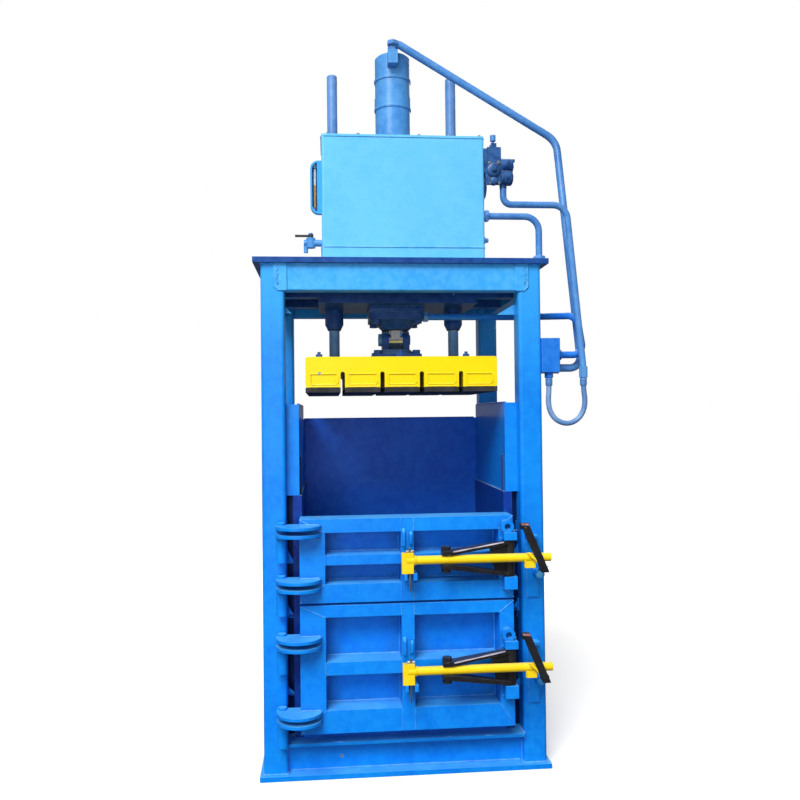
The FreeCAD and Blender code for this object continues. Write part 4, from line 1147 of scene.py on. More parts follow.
    def hexagon(self, spot: Spot, along: Axis, across: float, high: float) -> None:
        """Hexagonal head with a chamfered top and a washer below.

        Args:
            spot: Centre of the seat.
            along: Way that the head stands.
            across: Distance over its flats.
            high: Height.
        """
        half = across / FLATS_TO_RADIUS
        self.lathe(spot, along, ((0, half * 1.28), (2, half * 1.28), (2.3, half * 1.24)), 28)
        self.lathe(spot, along, ((2, half), (high * 0.82, half), (high, half * 0.86)), 6)

    def done(self, name: str, finish: Finish, body: Body = Body.FRAME, slot: str = "",
             smooth: bool = True) -> bpy.types.Object:
        """Make the object of what has been built.

        Args:
            name: Name of the piece.
            finish: Its finish.
            body: Body that it rides on.
            slot: Material slot of the record, where it isn't the finish's usual one.
            smooth: Whether shallow edges shade smoothly.

        Returns:
            The new piece.
        """
        bmesh.ops.recalc_face_normals(self.mesh, faces=self.mesh.faces)
        data = bpy.data.meshes.new(name)
        self.mesh.to_mesh(data)
        self.mesh.free()
        self.mesh = bmesh.new()
        piece = bpy.data.objects.new(name, data)
        place(piece)
        data.materials.append(Paints.of(finish))
        if smooth:
            data.shade_smooth()
            data.set_sharp_from_angle(angle=math.radians(SHARP_ANGLE))
        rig.ride(piece, body.value)
        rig.slot(piece, slot or SLOTS[finish])
        LOG.info("%s: %d faces on %s", name, len(data.polygons), body.value)
        return piece


@dataclass
class Studio:
    """Camera, floor and soft lights."""

    lens: float = 36.99
    sensor: float = 36.0
    floor_reach: float = 30000.0
    floor_thick: float = 60.0
    spot: Spot = (-0.311, -3.8275, 1.4485)
    yaw: float = 0.0884
    pitch: float = 0.0185
    roll: float = -0.0110
    ambient: float = 0.27
    sun_power: float = 2.85
    sun_angle: float = 34.0
    sun_way: Spot = (0.40, 1.0, -1.12)

    def camera(self) -> None:
        """Place the camera and make it the scene's."""
        ahead = Vector((math.sin(self.yaw) * math.cos(self.pitch),
                        math.cos(self.yaw) * math.cos(self.pitch), math.sin(self.pitch)))
        right = Vector((math.cos(self.yaw), -math.sin(self.yaw), 0))
        up = right.cross(ahead)
        across = right * math.cos(self.roll) + up * math.sin(self.roll)
        upright = up * math.cos(self.roll) - right * math.sin(self.roll)
        data = bpy.data.cameras.new("camera")
        data.lens, data.sensor_width = self.lens, self.sensor
        data.dof.use_dof = False
        camera = bpy.data.objects.new("camera", data)
        turn = Matrix((across, upright, -ahead)).transposed().to_4x4()
        camera.matrix_world = Matrix.Translation(self.spot) @ turn
        place(camera)
        bpy.context.scene.camera = camera

    @staticmethod
    def lamp(name: str, spot: Spot, aim: Spot, size: float, power: float, shiny: bool = True) -> None:
        """Place a soft square lamp.

        Args:
            name: Name of the lamp.
            spot: Where it stands, in metres.
            aim: Where it points.
            size: Side of its face.
            power: Watts.
            shiny: Whether glossy faces mirror it.
        """
        data = bpy.data.lights.new(name, "AREA")
        data.shape, data.size, data.energy = "SQUARE", size, power
        lamp = bpy.data.objects.new(name, data)
        lamp.location = spot
        lamp.rotation_mode = "QUATERNION"
        lamp.rotation_quaternion = (Vector(aim) - Vector(spot)).to_track_quat("-Z", "Y")
        lamp.visible_glossy = shiny
        place(lamp)

    def sun(self) -> None:
        """Place the broad main light."""
        data = bpy.data.lights.new("main_light", "SUN")
        data.energy, data.angle = self.sun_power, math.radians(self.sun_angle)
        sun = bpy.data.objects.new("main_light", data)
        sun.rotation_mode = "QUATERNION"
        sun.rotation_quaternion = Vector(self.sun_way).to_track_quat("-Z", "Y")
        place(sun)

    def room(self) -> None:
        """Build the floor, the pale surroundings and the lamps."""
        shop = Shop()
        far = self.floor_reach
        outline = ((-far, -far, 0), (far, -far, 0), (far, far, 0), (-far, far, 0))
        shop.slab(outline, (0, 0, -self.floor_thick), 0)
        bmesh.ops.recalc_face_normals(shop.mesh, faces=shop.mesh.faces)
        data = bpy.data.meshes.new("floor")
        shop.mesh.to_mesh(data)
        floor = bpy.data.objects.new("floor", data)
        data.materials.append(Paints.of(FLOOR))
        place(floor)
        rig.stage(floor)
        world = bpy.data.worlds.new("surroundings")
        world.use_nodes = True
        patch = Patch(world.node_tree)
        shine, leave = patch.add("Background"), patch.add("OutputWorld")
        shine.inputs["Color"].default_value = (1.0, 1.0, 1.0, 1.0)
        seen = patch.add("LightPath").outputs["Is Camera Ray"]
        patch.feed(shine.inputs["Strength"], patch.line(seen, 1.0 - self.ambient, self.ambient))
        patch.feed(leave.inputs["Surface"], shine.outputs[0])
        bpy.context.scene.world = world
        self.sun()
        self.lamp("top_lamp", (-1.6, -3.0, 3.9), (-0.1, -0.5, 1.9), 1.6, 42)
        self.lamp("front_fill", (-0.9, -5.2, 1.2), (0, 0, 1.0), 2.4, 62, shiny=False)
        self.lamp("rear_lamp", (1.5, 4.5, 4.5), (0, 0, 1.6), 3.0, 110)
        bpy.context.scene.view_settings.view_transform = "Standard"


@dataclass
class HoseLoop:
    """Hose that hangs from the side manifold and returns to the supply pipe."""

    diameter: float = 22.0
    ferrule_round: float = 30.0
    ferrule_long: float = 34.0
    route: tuple[Spot, ...] = (
        (612, -466, 1598), (612, -466, 1550), (607, -467, 1502), (614, -468, 1455), (641, -469, 1419),
        (684, -470, 1404), (727, -471, 1418), (755, -472, 1453), (764, -473, 1500), (757, -473, 1549),
        (757, -473, 1598))

    def build(self) -> None:
        data = bpy.data.curves.new("hose", "CURVE")
        data.dimensions = "3D"
        line = data.splines.new("NURBS")
        line.points.add(len(self.route) - 1)
        for point, spot in zip(line.points, self.route):
            point.co = (*(Vector(spot) * MM), 1.0)
        line.order_u = 3
        line.use_endpoint_u = True
        data.bevel_depth = self.diameter / 2 * MM
        data.bevel_resolution = 8
        data.resolution_u = 12
        data.use_fill_caps = True
        data.materials.append(Paints.of(HOSE))
        hose = bpy.data.objects.new("hose", data)
        place(hose)
        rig.ride(hose, Body.FRAME.value)
        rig.slot(hose, "hose_rubber")
        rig.replaces(hose, "hose_loop")
        half = self.ferrule_round / 2
        ferrules = []
        for name, top in (("hose_ferrule_left", self.route[0]), ("hose_ferrule_right", self.route[-1])):
            profile = [(0.2, half - 4), (2, half - 1)]
            for ring in range(5):
                reach, groove = 4 + ring * 5.4, half - 1.6
                profile += [(reach, half), (reach + 3.2, half), (reach + 4.1, groove), (reach + 4.9, groove)]
            profile += [(self.ferrule_long - 2, half - 1), (self.ferrule_long, half - 3.5)]
            ferrules.append(Shop().lathe(top, Axis.DOWN, profile, 28)
                            .done(name, PIPE))
        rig.cord(hose, exit=tuple(Vector(self.route[0]) * MM), length=0.46, diameter=self.diameter * MM,
                far_end="object", stiffness="stiff", lay="hanging", with_pieces=ferrules)


@dataclass
class PostFrame:
    """Weld beads, gussets, near-black gap plates as painted shade and pale boss discs as painted highlights of the
    standing frame.
    """

    post_in: float = 479.0
    post_out: float = 575.0
    front: float = -495.0
    back: float = 495.0
    post_side: float = 96.0
    base_top: float = 20.0
    roof_low: float = 2068.0
    beam_low: float = 1957.0
    sill_top: float = 146.0
    rail_levels: tuple[float, ...] = (316.0, 636.0, 956.0)
    rail_wide: float = 60.0
    rail_high: float = 80.0
    hinge_x: float = -497.5
    seat_left: float = 499.0
    seat_right: float = 547.0
    gusset_levels: tuple[tuple[float, float], ...] = ((848.0, 905.0), (628.0, 680.0), (316.0, 348.0))
    gusset_y: float = -432.0
    gusset_thick: float = 8.0
    gusset_in: float = 446.0
    strip_in: float = 419.0
    strip_y: float = -398.6
    hinge_tops: tuple[float, ...] = UPPER_HINGES + LOWER_HINGES

    def post_welds(self) -> None:
        """Beads round the feet and heads of the posts and along the corner plates."""
        shop = Shop()
        rows = ((self.front, self.front + self.post_side), (self.back - self.post_side, self.back))
        for side in (-1, 1):
            for near, far in rows:
                inner, outer = side * self.post_in, side * self.post_out
                for high, drop in ((self.base_top, 2.0), (self.roof_low, -2.0)):
                    level = high + drop
                    shop.bead(((inner, near, level), (outer, near, level), (outer, far, level),
                               (inner, far, level), (inner, near, level)), 4.2)
        shop.done("post_weld_beads", WELD)
        face, low, high = self.front - 4.5, self.beam_low, self.roof_low - 3
        for side, name in ((-1, "left"), (1, "right")):
            outer, inner = side * (self.post_in + 40), side * (self.post_in - 8)
            bend = (side * (self.post_in + 26), face + 2, low + 2)
            shop.bead(((outer, face + 3, low + 14), (outer, face + 3, high)), 5.0, 9.0)
            shop.bead(((inner, face + 3, low + 3), (inner, face + 3, high)), 4.4, 8.0)
            shop.bead(((inner, face + 2, low + 2), bend, (outer, face + 2, low + 16)), 3.6, 8.0)
            wander = [(outer - side * (11 + 4 * math.sin(step * 0.95) + 3 * math.sin(step * 2.3)), face - 1.0,
                       low + 24 + step * 4.4) for step in range(19)]
            shop.bead(wander, 3.0, 9.0)
            # corner plate welds in the lighter beam tone: painted light at the top
            shop.done(f"corner_plate_welds_{name}", BEAM_TOP_LIT)

    def rail_welds(self) -> None:
        """Beads where the side rails meet the posts, and short stitches along the roof plate."""
        shop = Shop()
        near, far = self.front + self.post_side, self.back - self.post_side
        under = self.roof_low - 2
        for side in (-1, 1):
            inner, outer = side * self.post_in, side * (self.post_in + self.rail_wide)
            for level in self.rail_levels:
                low, high = level - self.rail_high / 2, level + self.rail_high / 2
                edge = outer + side
                rim = ((inner, high + 1), (outer, high + 1), (edge, high), (edge, low), (inner, low - 1))
                for depth in (near + 1, far - 1):
                    shop.bead([(across, depth, rise) for across, rise in rim], 3.8)
        shop.done("rail_weld_beads", WELD)
        for side in (-1, 1):
            for step in range(6):
                start = near + 40 + step * 130
                across = side * (self.post_out - 6)
                shop.bead(((across, start, under), (across, start + 46, under)), 3.6)
        for step in range(7):
            start = -440 + step * 140
            shop.bead(((start, self.back - 20, under), (start + 48, self.back - 20, under)), 3.6)
        shop.done("roof_stitch_welds", WELD)

    def sill_welds(self) -> None:
        """Beads at the sill's ends, below its lip and at its seam to the base plate."""
        shop = Shop()
        web, lip, below = self.front + 36, self.sill_top + 1, self.sill_top - 12
        for side in (-1, 1):
            inner, over = side * (self.post_in - 1), side * (self.post_in + 2)
            shop.bead(((inner, self.front - 16, lip), (inner, self.front + 60, lip)))
            shop.bead(((inner, self.front - 2, below), (inner, web, below), (inner, web, 24)))
            shop.bead(((over, self.front - 1.5, 120), (over, self.front - 1.5, self.sill_top + 4)), 5.0)
        shop.bead(((-470, web + 2, 22), (470, web + 2, 22)), 3.6)
        for start, end in ((-296, -262), (160, 180), (318, 344)):
            shop.bead(((start, self.front - 15, lip - 0.5), (end, self.front - 15, lip - 0.5)), 3.0)
        shop.done("sill_weld_beads", WELD)

    def hinge_welds(self) -> None:
        """Beads down both sides of the hinge sockets."""
        shop = Shop()
        face, half, long = self.front - 1.5, 17.0, 146.0
        for top in self.hinge_tops:
            for across in (self.hinge_x - half - 0.5, self.hinge_x + half + 0.5):
                shop.bead(((across, face, top - long), (across, face, top - 66)))
            shop.bead([(self.hinge_x + side * half, face, top - long - 2) for side in (-1, 1)])
        shop.done("hinge_weld_beads", WELD)

    def keeper_welds(self) -> None:
        """Beads round the latch seats and a pale disc on each boss face, a painted highlight."""
        shop = Shop()
        for height in (UPPER_LATCH, LOWER_LATCH):
            low, high = height - 184, height + 61
            left, right = self.seat_left, self.seat_right
            rim = ((left, low), (right, low), (right, high), (left, high), (left, low))
            shop.bead([(across, self.front - 2, level) for across, level in rim], 3.6)
            shop.bead(((492, self.front - 3, height + 60), (536, self.front - 3, height + 60)))
        shop.done("keeper_weld_beads", WELD)
        # pale disc on each keeper boss: painted highlight
        for height in (UPPER_LATCH, LOWER_LATCH):
            shop.lathe((540, self.front - 55, height - 84), Axis.FORWARD,
                       ((0, 14), (3, 14), (3.6, 12), (5, 9), (5.6, 3)), 28)
        shop.done("keeper_boss_faces", PALE_WELD_AND_HIGHLIGHT)

    def gussets(self) -> None:
        """Small triangular plates in the gaps beside the chamber and under the top beam."""
        shop = Shop()
        thick = (0, self.gusset_thick, 0)
        for low, high in self.gusset_levels:
            for side in (-1, 1):
                outer, inner = side * self.post_in, side * self.gusset_in
                corners = ((outer, high), (outer, low), (inner, low))
                shop.slab([(across, self.gusset_y, level) for across, level in corners], thick, 1.0)
                seam = outer - side * 2
                shop.bead(((seam, self.gusset_y - 1, low), (seam, self.gusset_y - 1, high)), 3.0)
        shop.done("gap_gussets", AZURE)
        for side, wide, low, high in ((1, 76, 1866, 1912), (-1, 26, 1872, 1898)):
            outer = side * self.post_in
            corners = ((outer, low), (outer, high), (outer - side * wide, low))
            shop.slab([(across, self.gusset_y + 2, level) for across, level in corners], thick, 1.0)
        # gussets under the beam in the lighter beam tone: painted light at the top
        shop.done("beam_gussets", BEAM_TOP_LIT)

    def backing_strips(self) -> None:
        """Near-black plates that close the gaps between the chamber's sides and the front posts, as painted shade
        where the gaps look dark.
        """
        shop = Shop()
        for side in (-1, 1):
            inner, outer = side * self.strip_in, side * (self.post_in + 8)
            left, right = min(inner, outer), max(inner, outer)
            shop.block((left, self.strip_y, self.base_top + 130), (right - left, 5, 1130), 1.0)
            for level in (420, 760, 1090):
                shop.bead(((outer, -393, level), (inner, -393, level)), 3.0)
        # near-black plates: painted shade in the gaps beside the chamber
        shop.done("side_backing_strips", GAP_SHADE)

    def build(self) -> None:
        """Build every part of the frame's dressing."""
        self.post_welds()
        self.rail_welds()
        self.sill_welds()
        self.hinge_welds()
        self.keeper_welds()
        self.gussets()
        self.backing_strips()


@dataclass
class Door:
    """Weld seams, window welds and hinge welds of one chamber door."""

    name: str
    body: Body
    rails: tuple[tuple[float, float], ...]
    hinges: tuple[float, float]
    face: float = -562.0
    left: float = -425.0
    right: float = 428.0
    stiles: tuple[tuple[float, float], ...] = ((-425.0, -325.0), (-24.0, 27.0), (370.0, 428.0))
    plate_back: float = -454.0

    def seams(self) -> None:
        """Mitre seams at the frame's corners and butt seams at its crossings."""
        shop = Shop()
        line = self.face - 0.4
        (bottom_low, bottom_high), (mid_low, mid_high), (top_low, top_high) = self.rails
        for outer, inner in ((self.left, self.stiles[0][1]), (self.right, self.stiles[2][0])):
            shop.bead(((outer, line, top_high - 1), (inner, line, top_low)), 2.6, 5.0)
            shop.bead(((outer, line, bottom_low + 1), (inner, line, bottom_high)), 2.6, 5.0)
            shop.bead(((inner, line, mid_low), (inner, line, mid_high)), 2.6, 5.0)
        for across in self.stiles[1]:
            for near, far in self.rails:
                shop.bead(((across, line, near + 3), (across, line, far - 3)), 2.4, 5.0)
        shop.done(f"{self.name}_door_seams", WELD, self.body)

    def window_welds(self) -> None:
        """Fillet beads where the plate meets the frame in each window."""
        shop = Shop()
        depth = self.plate_back + 0.5
        for near, far in ((self.stiles[0][1], self.stiles[1][0]), (self.stiles[1][1], self.stiles[2][0])):
            for below, above in zip(self.rails, self.rails[1:]):
                low, high = below[1], above[0]
                shop.bead(((near, depth, low), (far, depth, low), (far, depth, high), (near, depth, high),
                           (near, depth, low)), 4.0, 8.0)
        shop.done(f"{self.name}_door_window_welds", WELD, self.body)

    def hinge_welds(self) -> None:
        """Beads where the hinge arms meet the door's face and rim."""
        shop = Shop()
        for top in self.hinges:
            for drop in (6.0, 49.0):
                for edge in (-7.5, 7.5):
                    level = top - drop + edge
                    shop.bead(((self.left + 2, self.face - 1, level), (-346, self.face - 1, level)), 3.4)
        shop.done(f"{self.name}_door_hinge_welds", WELD, self.body)

    def build(self) -> None:
        """Build every part of the door's dressing."""
        self.seams()
        self.window_welds()
        self.hinge_welds()


@dataclass
class Latch:
    """Worn and lit edge, tips, brace, blobs, head collar and pin end of one latch."""

    name: str
    height: float
    yoke: Body
    bar: Body
    pin: Body
    door: Body
    bar_y: float = -627.0
    yoke_y: float = -587.0
    yoke_x: float = 408.0
    root_x: float = 166.0
    root_gap: float = 17.6
    upper_gap: float = 50.0
    lower_gap: float = 64.0
    arm_deep: float = 20.0
    web_near: float = 322.0
    web_far: float = 392.0
    bar_radius: float = 17.0
    hook_thick: float = 14.0
    door_face: float = -562.0
    lug_half: float = 26.0
    lug_levels: tuple[float, ...] = (66.0, 96.0, -128.0, -79.0)
    stile_lugs: tuple[tuple[float, float, tuple[tuple[float, float], ...]], ...] = (
        (-20.0, 12.0, ((0, 0), (18, 4), (22, 60), (0, 74))),
        (10.0, 10.0, ((0, 8), (16, 12), (18, 50), (0, 60))))

    def arm_line(self, across: float, sign: float, rise: float) -> Spot:
        """Spot on an arm's front face.

        Args:
            across: X of the spot.
            sign: 1 for the upper arm, -1 for the lower.
            rise: Distance from the arm's inner edge.

        Returns:
            The spot.
        """
        share = (across - self.root_x) / (self.yoke_x - self.root_x)
        spread = self.upper_gap if sign > 0 else self.lower_gap
        inner = self.root_gap + (spread - self.root_gap) * share
        depth = self.bar_y - self.arm_deep + 2 * self.arm_deep * share
        return across, depth, self.height + sign * (inner + rise)

    def worn_and_lit_edges(self) -> None:
        """Pale strip along the upper arm, part rubbed wear and part painted highlight, and a weld at each arm's root.
        """
        shop = Shop()
        # pale strip along the arm's top: rubbed wear and a painted highlight
        path = [self.arm_line(across, 1, 12.6) for across in range(172, 400, 19)]
        shop.tube(path, lambda reach: 3.6 + 0.9 * math.sin(reach * 0.05), 8, 0.8)
        shop.done(f"{self.name}_yoke_bright_edge", RUBBED_AND_LIT, self.yoke)
        for sign in (1, -1):
            root = [self.arm_line(396, sign, rise) for rise in (1, 13)]
            shop.bead([(x, y - 1, z) for x, y, z in root], 3.4, 5.0)
            shop.bead((self.arm_line(168, sign, 1), self.arm_line(168, sign, 13)), 3.0, 5.0)
        shop.done(f"{self.name}_yoke_welds", BLACK, self.yoke)
        ends = ((self.web_near, 1), (self.web_far, 1), (self.web_far, -1), (self.web_near + 22, -1))
        corners = [self.arm_line(across, sign, 4) for across, sign in ends]
        shop.slab([(x, y + 15, z) for x, y, z in corners], (0, 5, 0), 1.0)
        for first, second in ((0, 1), (3, 2)):
            shop.bead([(x, y + 13, z) for x, y, z in (corners[first], corners[second])], 3.0)
        shop.done(f"{self.name}_yoke_web", BLACK, self.yoke)

    def hook_tip(self) -> None:
        """Worn tip of the hook and the brace that ties it to the bar."""
        front = self.bar_y - self.bar_radius - self.hook_thick
        tip = ((439, 138), (469, 138), (473, 128), (443, 130))
        shop = Shop()
        shop.slab([(across, front - 1.2, self.height + rise) for across, rise in tip], (0, 2, 0), 0.6)
        shop.done(f"{self.name}_hook_worn_tip", PRIMER, self.bar)
        shop.tube(((474, self.bar_y - 22, self.height + 14), (497, self.bar_y - 24, self.height - 4),
                   (520, self.bar_y - 24, self.height - 30)), 6.0, 14)
        shop.bead([(across, self.bar_y - 15, self.height + 17) for across in (466, 482)], 4.5)
        shop.done(f"{self.name}_bar_brace", BAR_YELLOW, self.bar)

    def bar_head(self) -> None:
        """Weld collar at the bar's head and the seam of its rest block."""
        shop = Shop()
        shop.lathe((19, self.bar_y, self.height), Axis.X, ((0, 15), (2, 21), (6, 20), (12, 17.2)), 32)
        shop.bead([(459, self.bar_y - 12.5, self.height + rise) for rise in (6, -38)], 3.2)
        shop.done(f"{self.name}_bar_collars", BAR_YELLOW, self.bar)

    def pin_end(self) -> None:
        """Drop end of the safety pin."""
        shop = Shop()
        shop.lathe((4, self.bar_y, self.height - 76), Axis.DOWN,
                   ((0, 4.2), (34, 4.2), (36, 3.4), (44, 3.4), (46, 2)), 16)
        shop.done(f"{self.name}_pin_end", BRIGHT, self.pin)

    def door_lugs(self) -> None:
        """Lug above the bar's end on the door's middle stile, with weld blobs."""
        shop = Shop()
        low = self.height + 44
        for left, thick, outline in self.stile_lugs:
            shop.slab([(left, self.door_face - out, low + rise) for out, rise in outline], (thick, 0, 0), 1.2)
        for edge in (-21, -7, 9, 21):
            shop.bead([(edge, self.door_face - 1, low + rise) for rise in (2, 66)], 3.6)
        shop.done(f"{self.name}_stile_lugs", DOOR_AZURE, self.door)
        # lug weld blobs in the pale weld tone: painted highlight
        for across in (self.yoke_x - self.lug_half, self.yoke_x + self.lug_half):
            for rise in self.lug_levels:
                level, reach = self.height + rise, math.copysign(1, rise)
                blob = ((25, 0), (25, 3), (24, 4))
                shop.bead([(across, self.yoke_y + deep, level + reach * step) for deep, step in blob], 3.4)
        shop.done(f"{self.name}_lug_welds", PALE_WELD_AND_HIGHLIGHT, self.door)

    def build(self) -> None:
        """Build every part of the latch's dressing."""
        self.worn_and_lit_edges()
        self.hook_tip()
        self.bar_head()
        self.pin_end()
        self.door_lugs()


@dataclass
class Chamber:
    """Weld lines and rim beads inside the chamber."""

    half: float = 427.0
    lower_half: float = 418.0
    front: float = -443.0
    back: float = 223.0
    floor_top: float = 166.0
    step: float = 1126.0
    panel_top: float = 1497.0
    back_top: float = 1434.0

    def build(self) -> None:
        """Build the inside welds and the lips of the walls."""
        shop = Shop()
        corner, foot = self.back - 2, self.floor_top + 1
        runs = ((self.half - 2, self.step + 4, self.back_top),
                (self.lower_half - 2, self.floor_top, self.step))
        for side in (-1, 1):
            for across, low, high in runs:
                shop.bead(((side * across, corner, low), (side * across, corner, high)), 4.5)
            across = side * (self.lower_half - 2)
            shop.bead(((across, self.front + 20, foot), (across, self.back - 4, foot)))
        shop.bead(((-self.lower_half, corner, foot), (self.lower_half, corner, foot)))
        shop.done("chamber_weld_beads", CHAMBER)
        for side in (-1, 1):
            shop.tube([(side * (self.half + 4), reach, self.panel_top) for reach in
                       range(int(self.front) + 6, int(self.back) + 6, 24)], 5.0, 10)
        shop.tube([(reach, self.back + 4, self.back_top) for reach in range(-424, 425, 24)], 5.0, 10)
        shop.done("chamber_rim_beads", CHAMBER)


@dataclass
class Tank:
    """Seam, skirt band, lid screws, plug, gauge glass and filler grip of the oil tank."""

    left: float = -326.0
    right: float = 348.0
    front: float = -475.0
    back: float = -210.0
    low: float = 2090.0
    top: float = 2604.0
    seam: float = 2140.0

    def shell(self) -> None:
        """Seam round the skirt, band below it and the foot weld."""
        shop = Shop()
        inset = 1.0
        for level, size in ((self.seam, 3.0), (self.low + 3, 4.2), (self.top - 9, 2.4)):
            for depth in (self.front - inset, self.back + inset):
                shop.bead(((self.left + 8, depth, level), (self.right - 8, depth, level)), size, 8)
            for across in (self.left - inset, self.right + inset):
                shop.bead(((across, self.front + 8, level), (across, self.back - 8, level)), size, 8)
        shop.done("tank_weld_seams", PALE_WELD_AND_HIGHLIGHT, slot="tank_blue")

    def lid_screws(self) -> None:
        """Screws round the lid and its lifting handle."""
        shop = Shop()
        for across in range(-300, 340, 126):
            for depth in (self.front + 16, self.back - 16):
                shop.hexagon((across, depth, self.top), Axis.Z, 13, 8)
        shop.done("tank_lid_screws", BOLT, smooth=False)
        handle = ((-60, 0), (-60, 26), (-54, 36), (-40, 40), (60, 40), (74, 36), (80, 26), (80, 0))
        shop.tube([(across, -342, self.top + rise) for across, rise in handle], 6.0, 12)
        shop.done("tank_lid_handle", SKY)

    def plug(self) -> None:
        """Square-headed plug low on the right side."""
        shop = Shop()
        shop.lathe((self.right, -440, 2176), Axis.X, ((0, 15), (6, 15), (7, 13)), 28)
        shop.lathe((self.right + 7, -440, 2176), Axis.X, ((0, 10), (11, 10), (13, 8.6)), 6)
        shop.done("tank_plug", PIPE, smooth=False)

    def gauge(self) -> None:
        """Sight tube with its end blocks inside the guard."""
        shop = Shop()
        spot = (self.left - 27, self.front + 39, 2304)
        shop.block((self.left - 38, self.front + 46, 2292), (30, 6, 194), 2.0)
        shop.done("gauge_back_plate", NAVY_AND_SHADE, slot="frame_blue")
        shop.lathe(spot, Axis.Z, ((0, 5), (172, 5)), 24)
        shop.done("gauge_sight_tube", GLASS)
        for level, name in ((2290.0, "low"), (2468.0, "high")):
            shop.lathe((spot[0], spot[1], level), Axis.Z, ((0, 8), (2, 11), (18, 11), (20, 8)), 6)
            shop.lathe((spot[0], spot[1], level + 10), Axis.X, ((0, 6), (10, 6)), 16)
            shop.done(f"gauge_end_block_{name}", BOLT, slot="bright_steel", smooth=False)

    def filler(self) -> None:
        """Fluted grip of the filler cap."""
        spot = (self.left + 120, self.back - 70, self.top + 16)
        profile = ((0.5, 38.2), (1.5, 40.5), (23, 40.5), (25.5, 38.5), (26.6, 34), (26.8, 12))
        Shop().lathe(spot, Axis.Z, profile, 96, lambda turn: 1.0 - 0.035 * (math.sin(turn * 16) > 0.35)).done(
            "filler_cap_grip", CAP)

    def build(self) -> None:
        """Build every part of the tank's dressing."""
        self.shell()
        self.lid_screws()
        self.plug()
        self.gauge()
        self.filler()


@dataclass
class Drive:
    """Motor fins, cover and eye, valve caps and pipe fittings."""

    motor_y: float = 180.0
    motor_z: float = 2215.0
    fins: int = 36
    valve_x: float = 348.0
    valve_y: float = -445.0
    valve_z: float = 2444.0

    def motor(self) -> None:
        """Cooling fins, fan cover rim, box lid screws and lifting eye."""
        def finned(turn: float) -> float:
            """Radius factor of the ribbed shell."""
            return 1.09 if math.sin(turn * self.fins) > 0.3 else 1.0
        shell = ((0, 95), (2, 97), (266, 97), (268, 95))
        Shop().lathe((6, self.motor_y, self.motor_z), Axis.X, shell, self.fins * 8, finned).done(
            "motor_fins", PIPE)
        cover = ((0, 100.5), (2, 103), (8, 103), (11, 101.5), (48, 101.5), (56, 99), (58.5, 94), (59, 88))
        Shop().lathe((282, self.motor_y, self.motor_z), Axis.X, cover, 72).done("motor_fan_cover", PIPE)
        shop = Shop()
        shop.block((86, self.motor_y - 49, self.motor_z + 140), (118, 98, 9), 3.0)
        for across in (96, 194):
            for aside in (-38, 38):
                shop.hexagon((across, self.motor_y + aside, self.motor_z + 149), Axis.Z, 9, 5)
        shop.done("terminal_box_lid", PIPE)
        centre = Vector((238, self.motor_y, self.motor_z + 122))
        rings = []
        for step in range(28):
            turn = 2 * math.pi * step / 28
            out = Vector((math.cos(turn), 0, math.sin(turn)))
            rings.append([centre + out * (18 + 5 * math.cos(a)) + Vector((0, 5 * math.sin(a), 0))
                          for a in [2 * math.pi * side / 10 for side in range(10)]])
        shop.loops(rings, closed=True)
        shop.lathe((238, self.motor_y, self.motor_z + 92), Axis.Z, ((0, 12), (6, 12), (8, 7), (14, 7)), 20)
        shop.done("motor_lifting_eye", BOLT)

    def at(self, across: float, along: float, rise: float) -> Spot:
        """Spot measured from the valve's seat."""
        return self.valve_x + across, self.valve_y + along, self.valve_z + rise

    def valve(self) -> None:
        """Ribbed end cap, cover screws and lever knob."""
        shop = Shop()
        ribs = ((0, 31.5), (3, 34), (9, 34), (11, 31.8), (16, 31.8), (18, 34), (24, 34), (26, 31.8),
                (44, 31.8), (49, 28), (52, 22))
        shop.lathe(self.at(73, 0, -5), Axis.X, ribs, 48).done("valve_end_cap", VALVE)
        spool = ((0, 31), (4, 31), (8, 27), (14, 26), (17, 22), (18, 12))
        shop.lathe(self.at(38, -24, 20), Axis.FORWARD, spool, 40)
        shop.lathe(self.at(38, -41, 20), Axis.FORWARD, ((0, 11), (8, 11), (10, 9)), 6)
        shop.lathe(self.at(40, -22, -26), Axis.FORWARD, ((0, 18), (8, 18), (12, 15), (18, 14), (20, 10)), 32)
        bonnet = ((-30, 20), (-8, 20), (-4, 17), (4, 15), (8, 12), (14, 10))
        shop.lathe(self.at(44, 0, 96), Axis.Z, bonnet, 32)
        shop.block(self.at(6, -28, -42), (66, 8, 84), 4.0)
        shop.done("valve_castings", VALVE)
        for along in (-24, 22):
            for rise in (8, 58):
                shop.hexagon(self.at(58, along, rise), Axis.X, 10, 7)
        for across in (26, 62):
            for rise in (-34, 50):
                shop.hexagon(self.at(across, -25, rise), Axis.FORWARD, 11, 8)
        shop.done("valve_cover_screws", BOLT, smooth=False)
        knob = ((-4, 8), (0, 11), (5, 13.6), (12, 14.4), (19, 13.6), (24, 11), (27, 6), (27.8, 2))
        shop.lathe(self.at(44, 0, 108), Axis.Z, knob, 32)
        shop.done("valve_lever_knob", PIPE, Body.VALVE, slot="cap_black")

    def fittings(self) -> None:
        """Union nuts on the pipes."""
        shop = Shop()
        nuts = (((-7, -224, 3088), Axis.Z, 46, 20), ((120, -170, 1888), Axis.X, 42, 24),
                ((642, -391, 1643), Axis.X, 46, 18), ((642, -433, 1696), Axis.X, 42, 18),
                ((583, -445, 2092), Axis.Z, 46, 20), ((352, -445, 2278), Axis.X, 44, 18))
        for spot, axis, across, long in nuts:
            half = across / FLATS_TO_RADIUS
            shop.lathe(spot, axis, ((0, half * 0.86), (3, half), (long - 3, half), (long, half * 0.86)), 6)
        shop.done("pipe_union_nuts", PIPE, smooth=False)

    def build(self) -> None:
        """Build every part of the drive's dressing."""
        self.motor()
        self.valve()
        self.fittings()


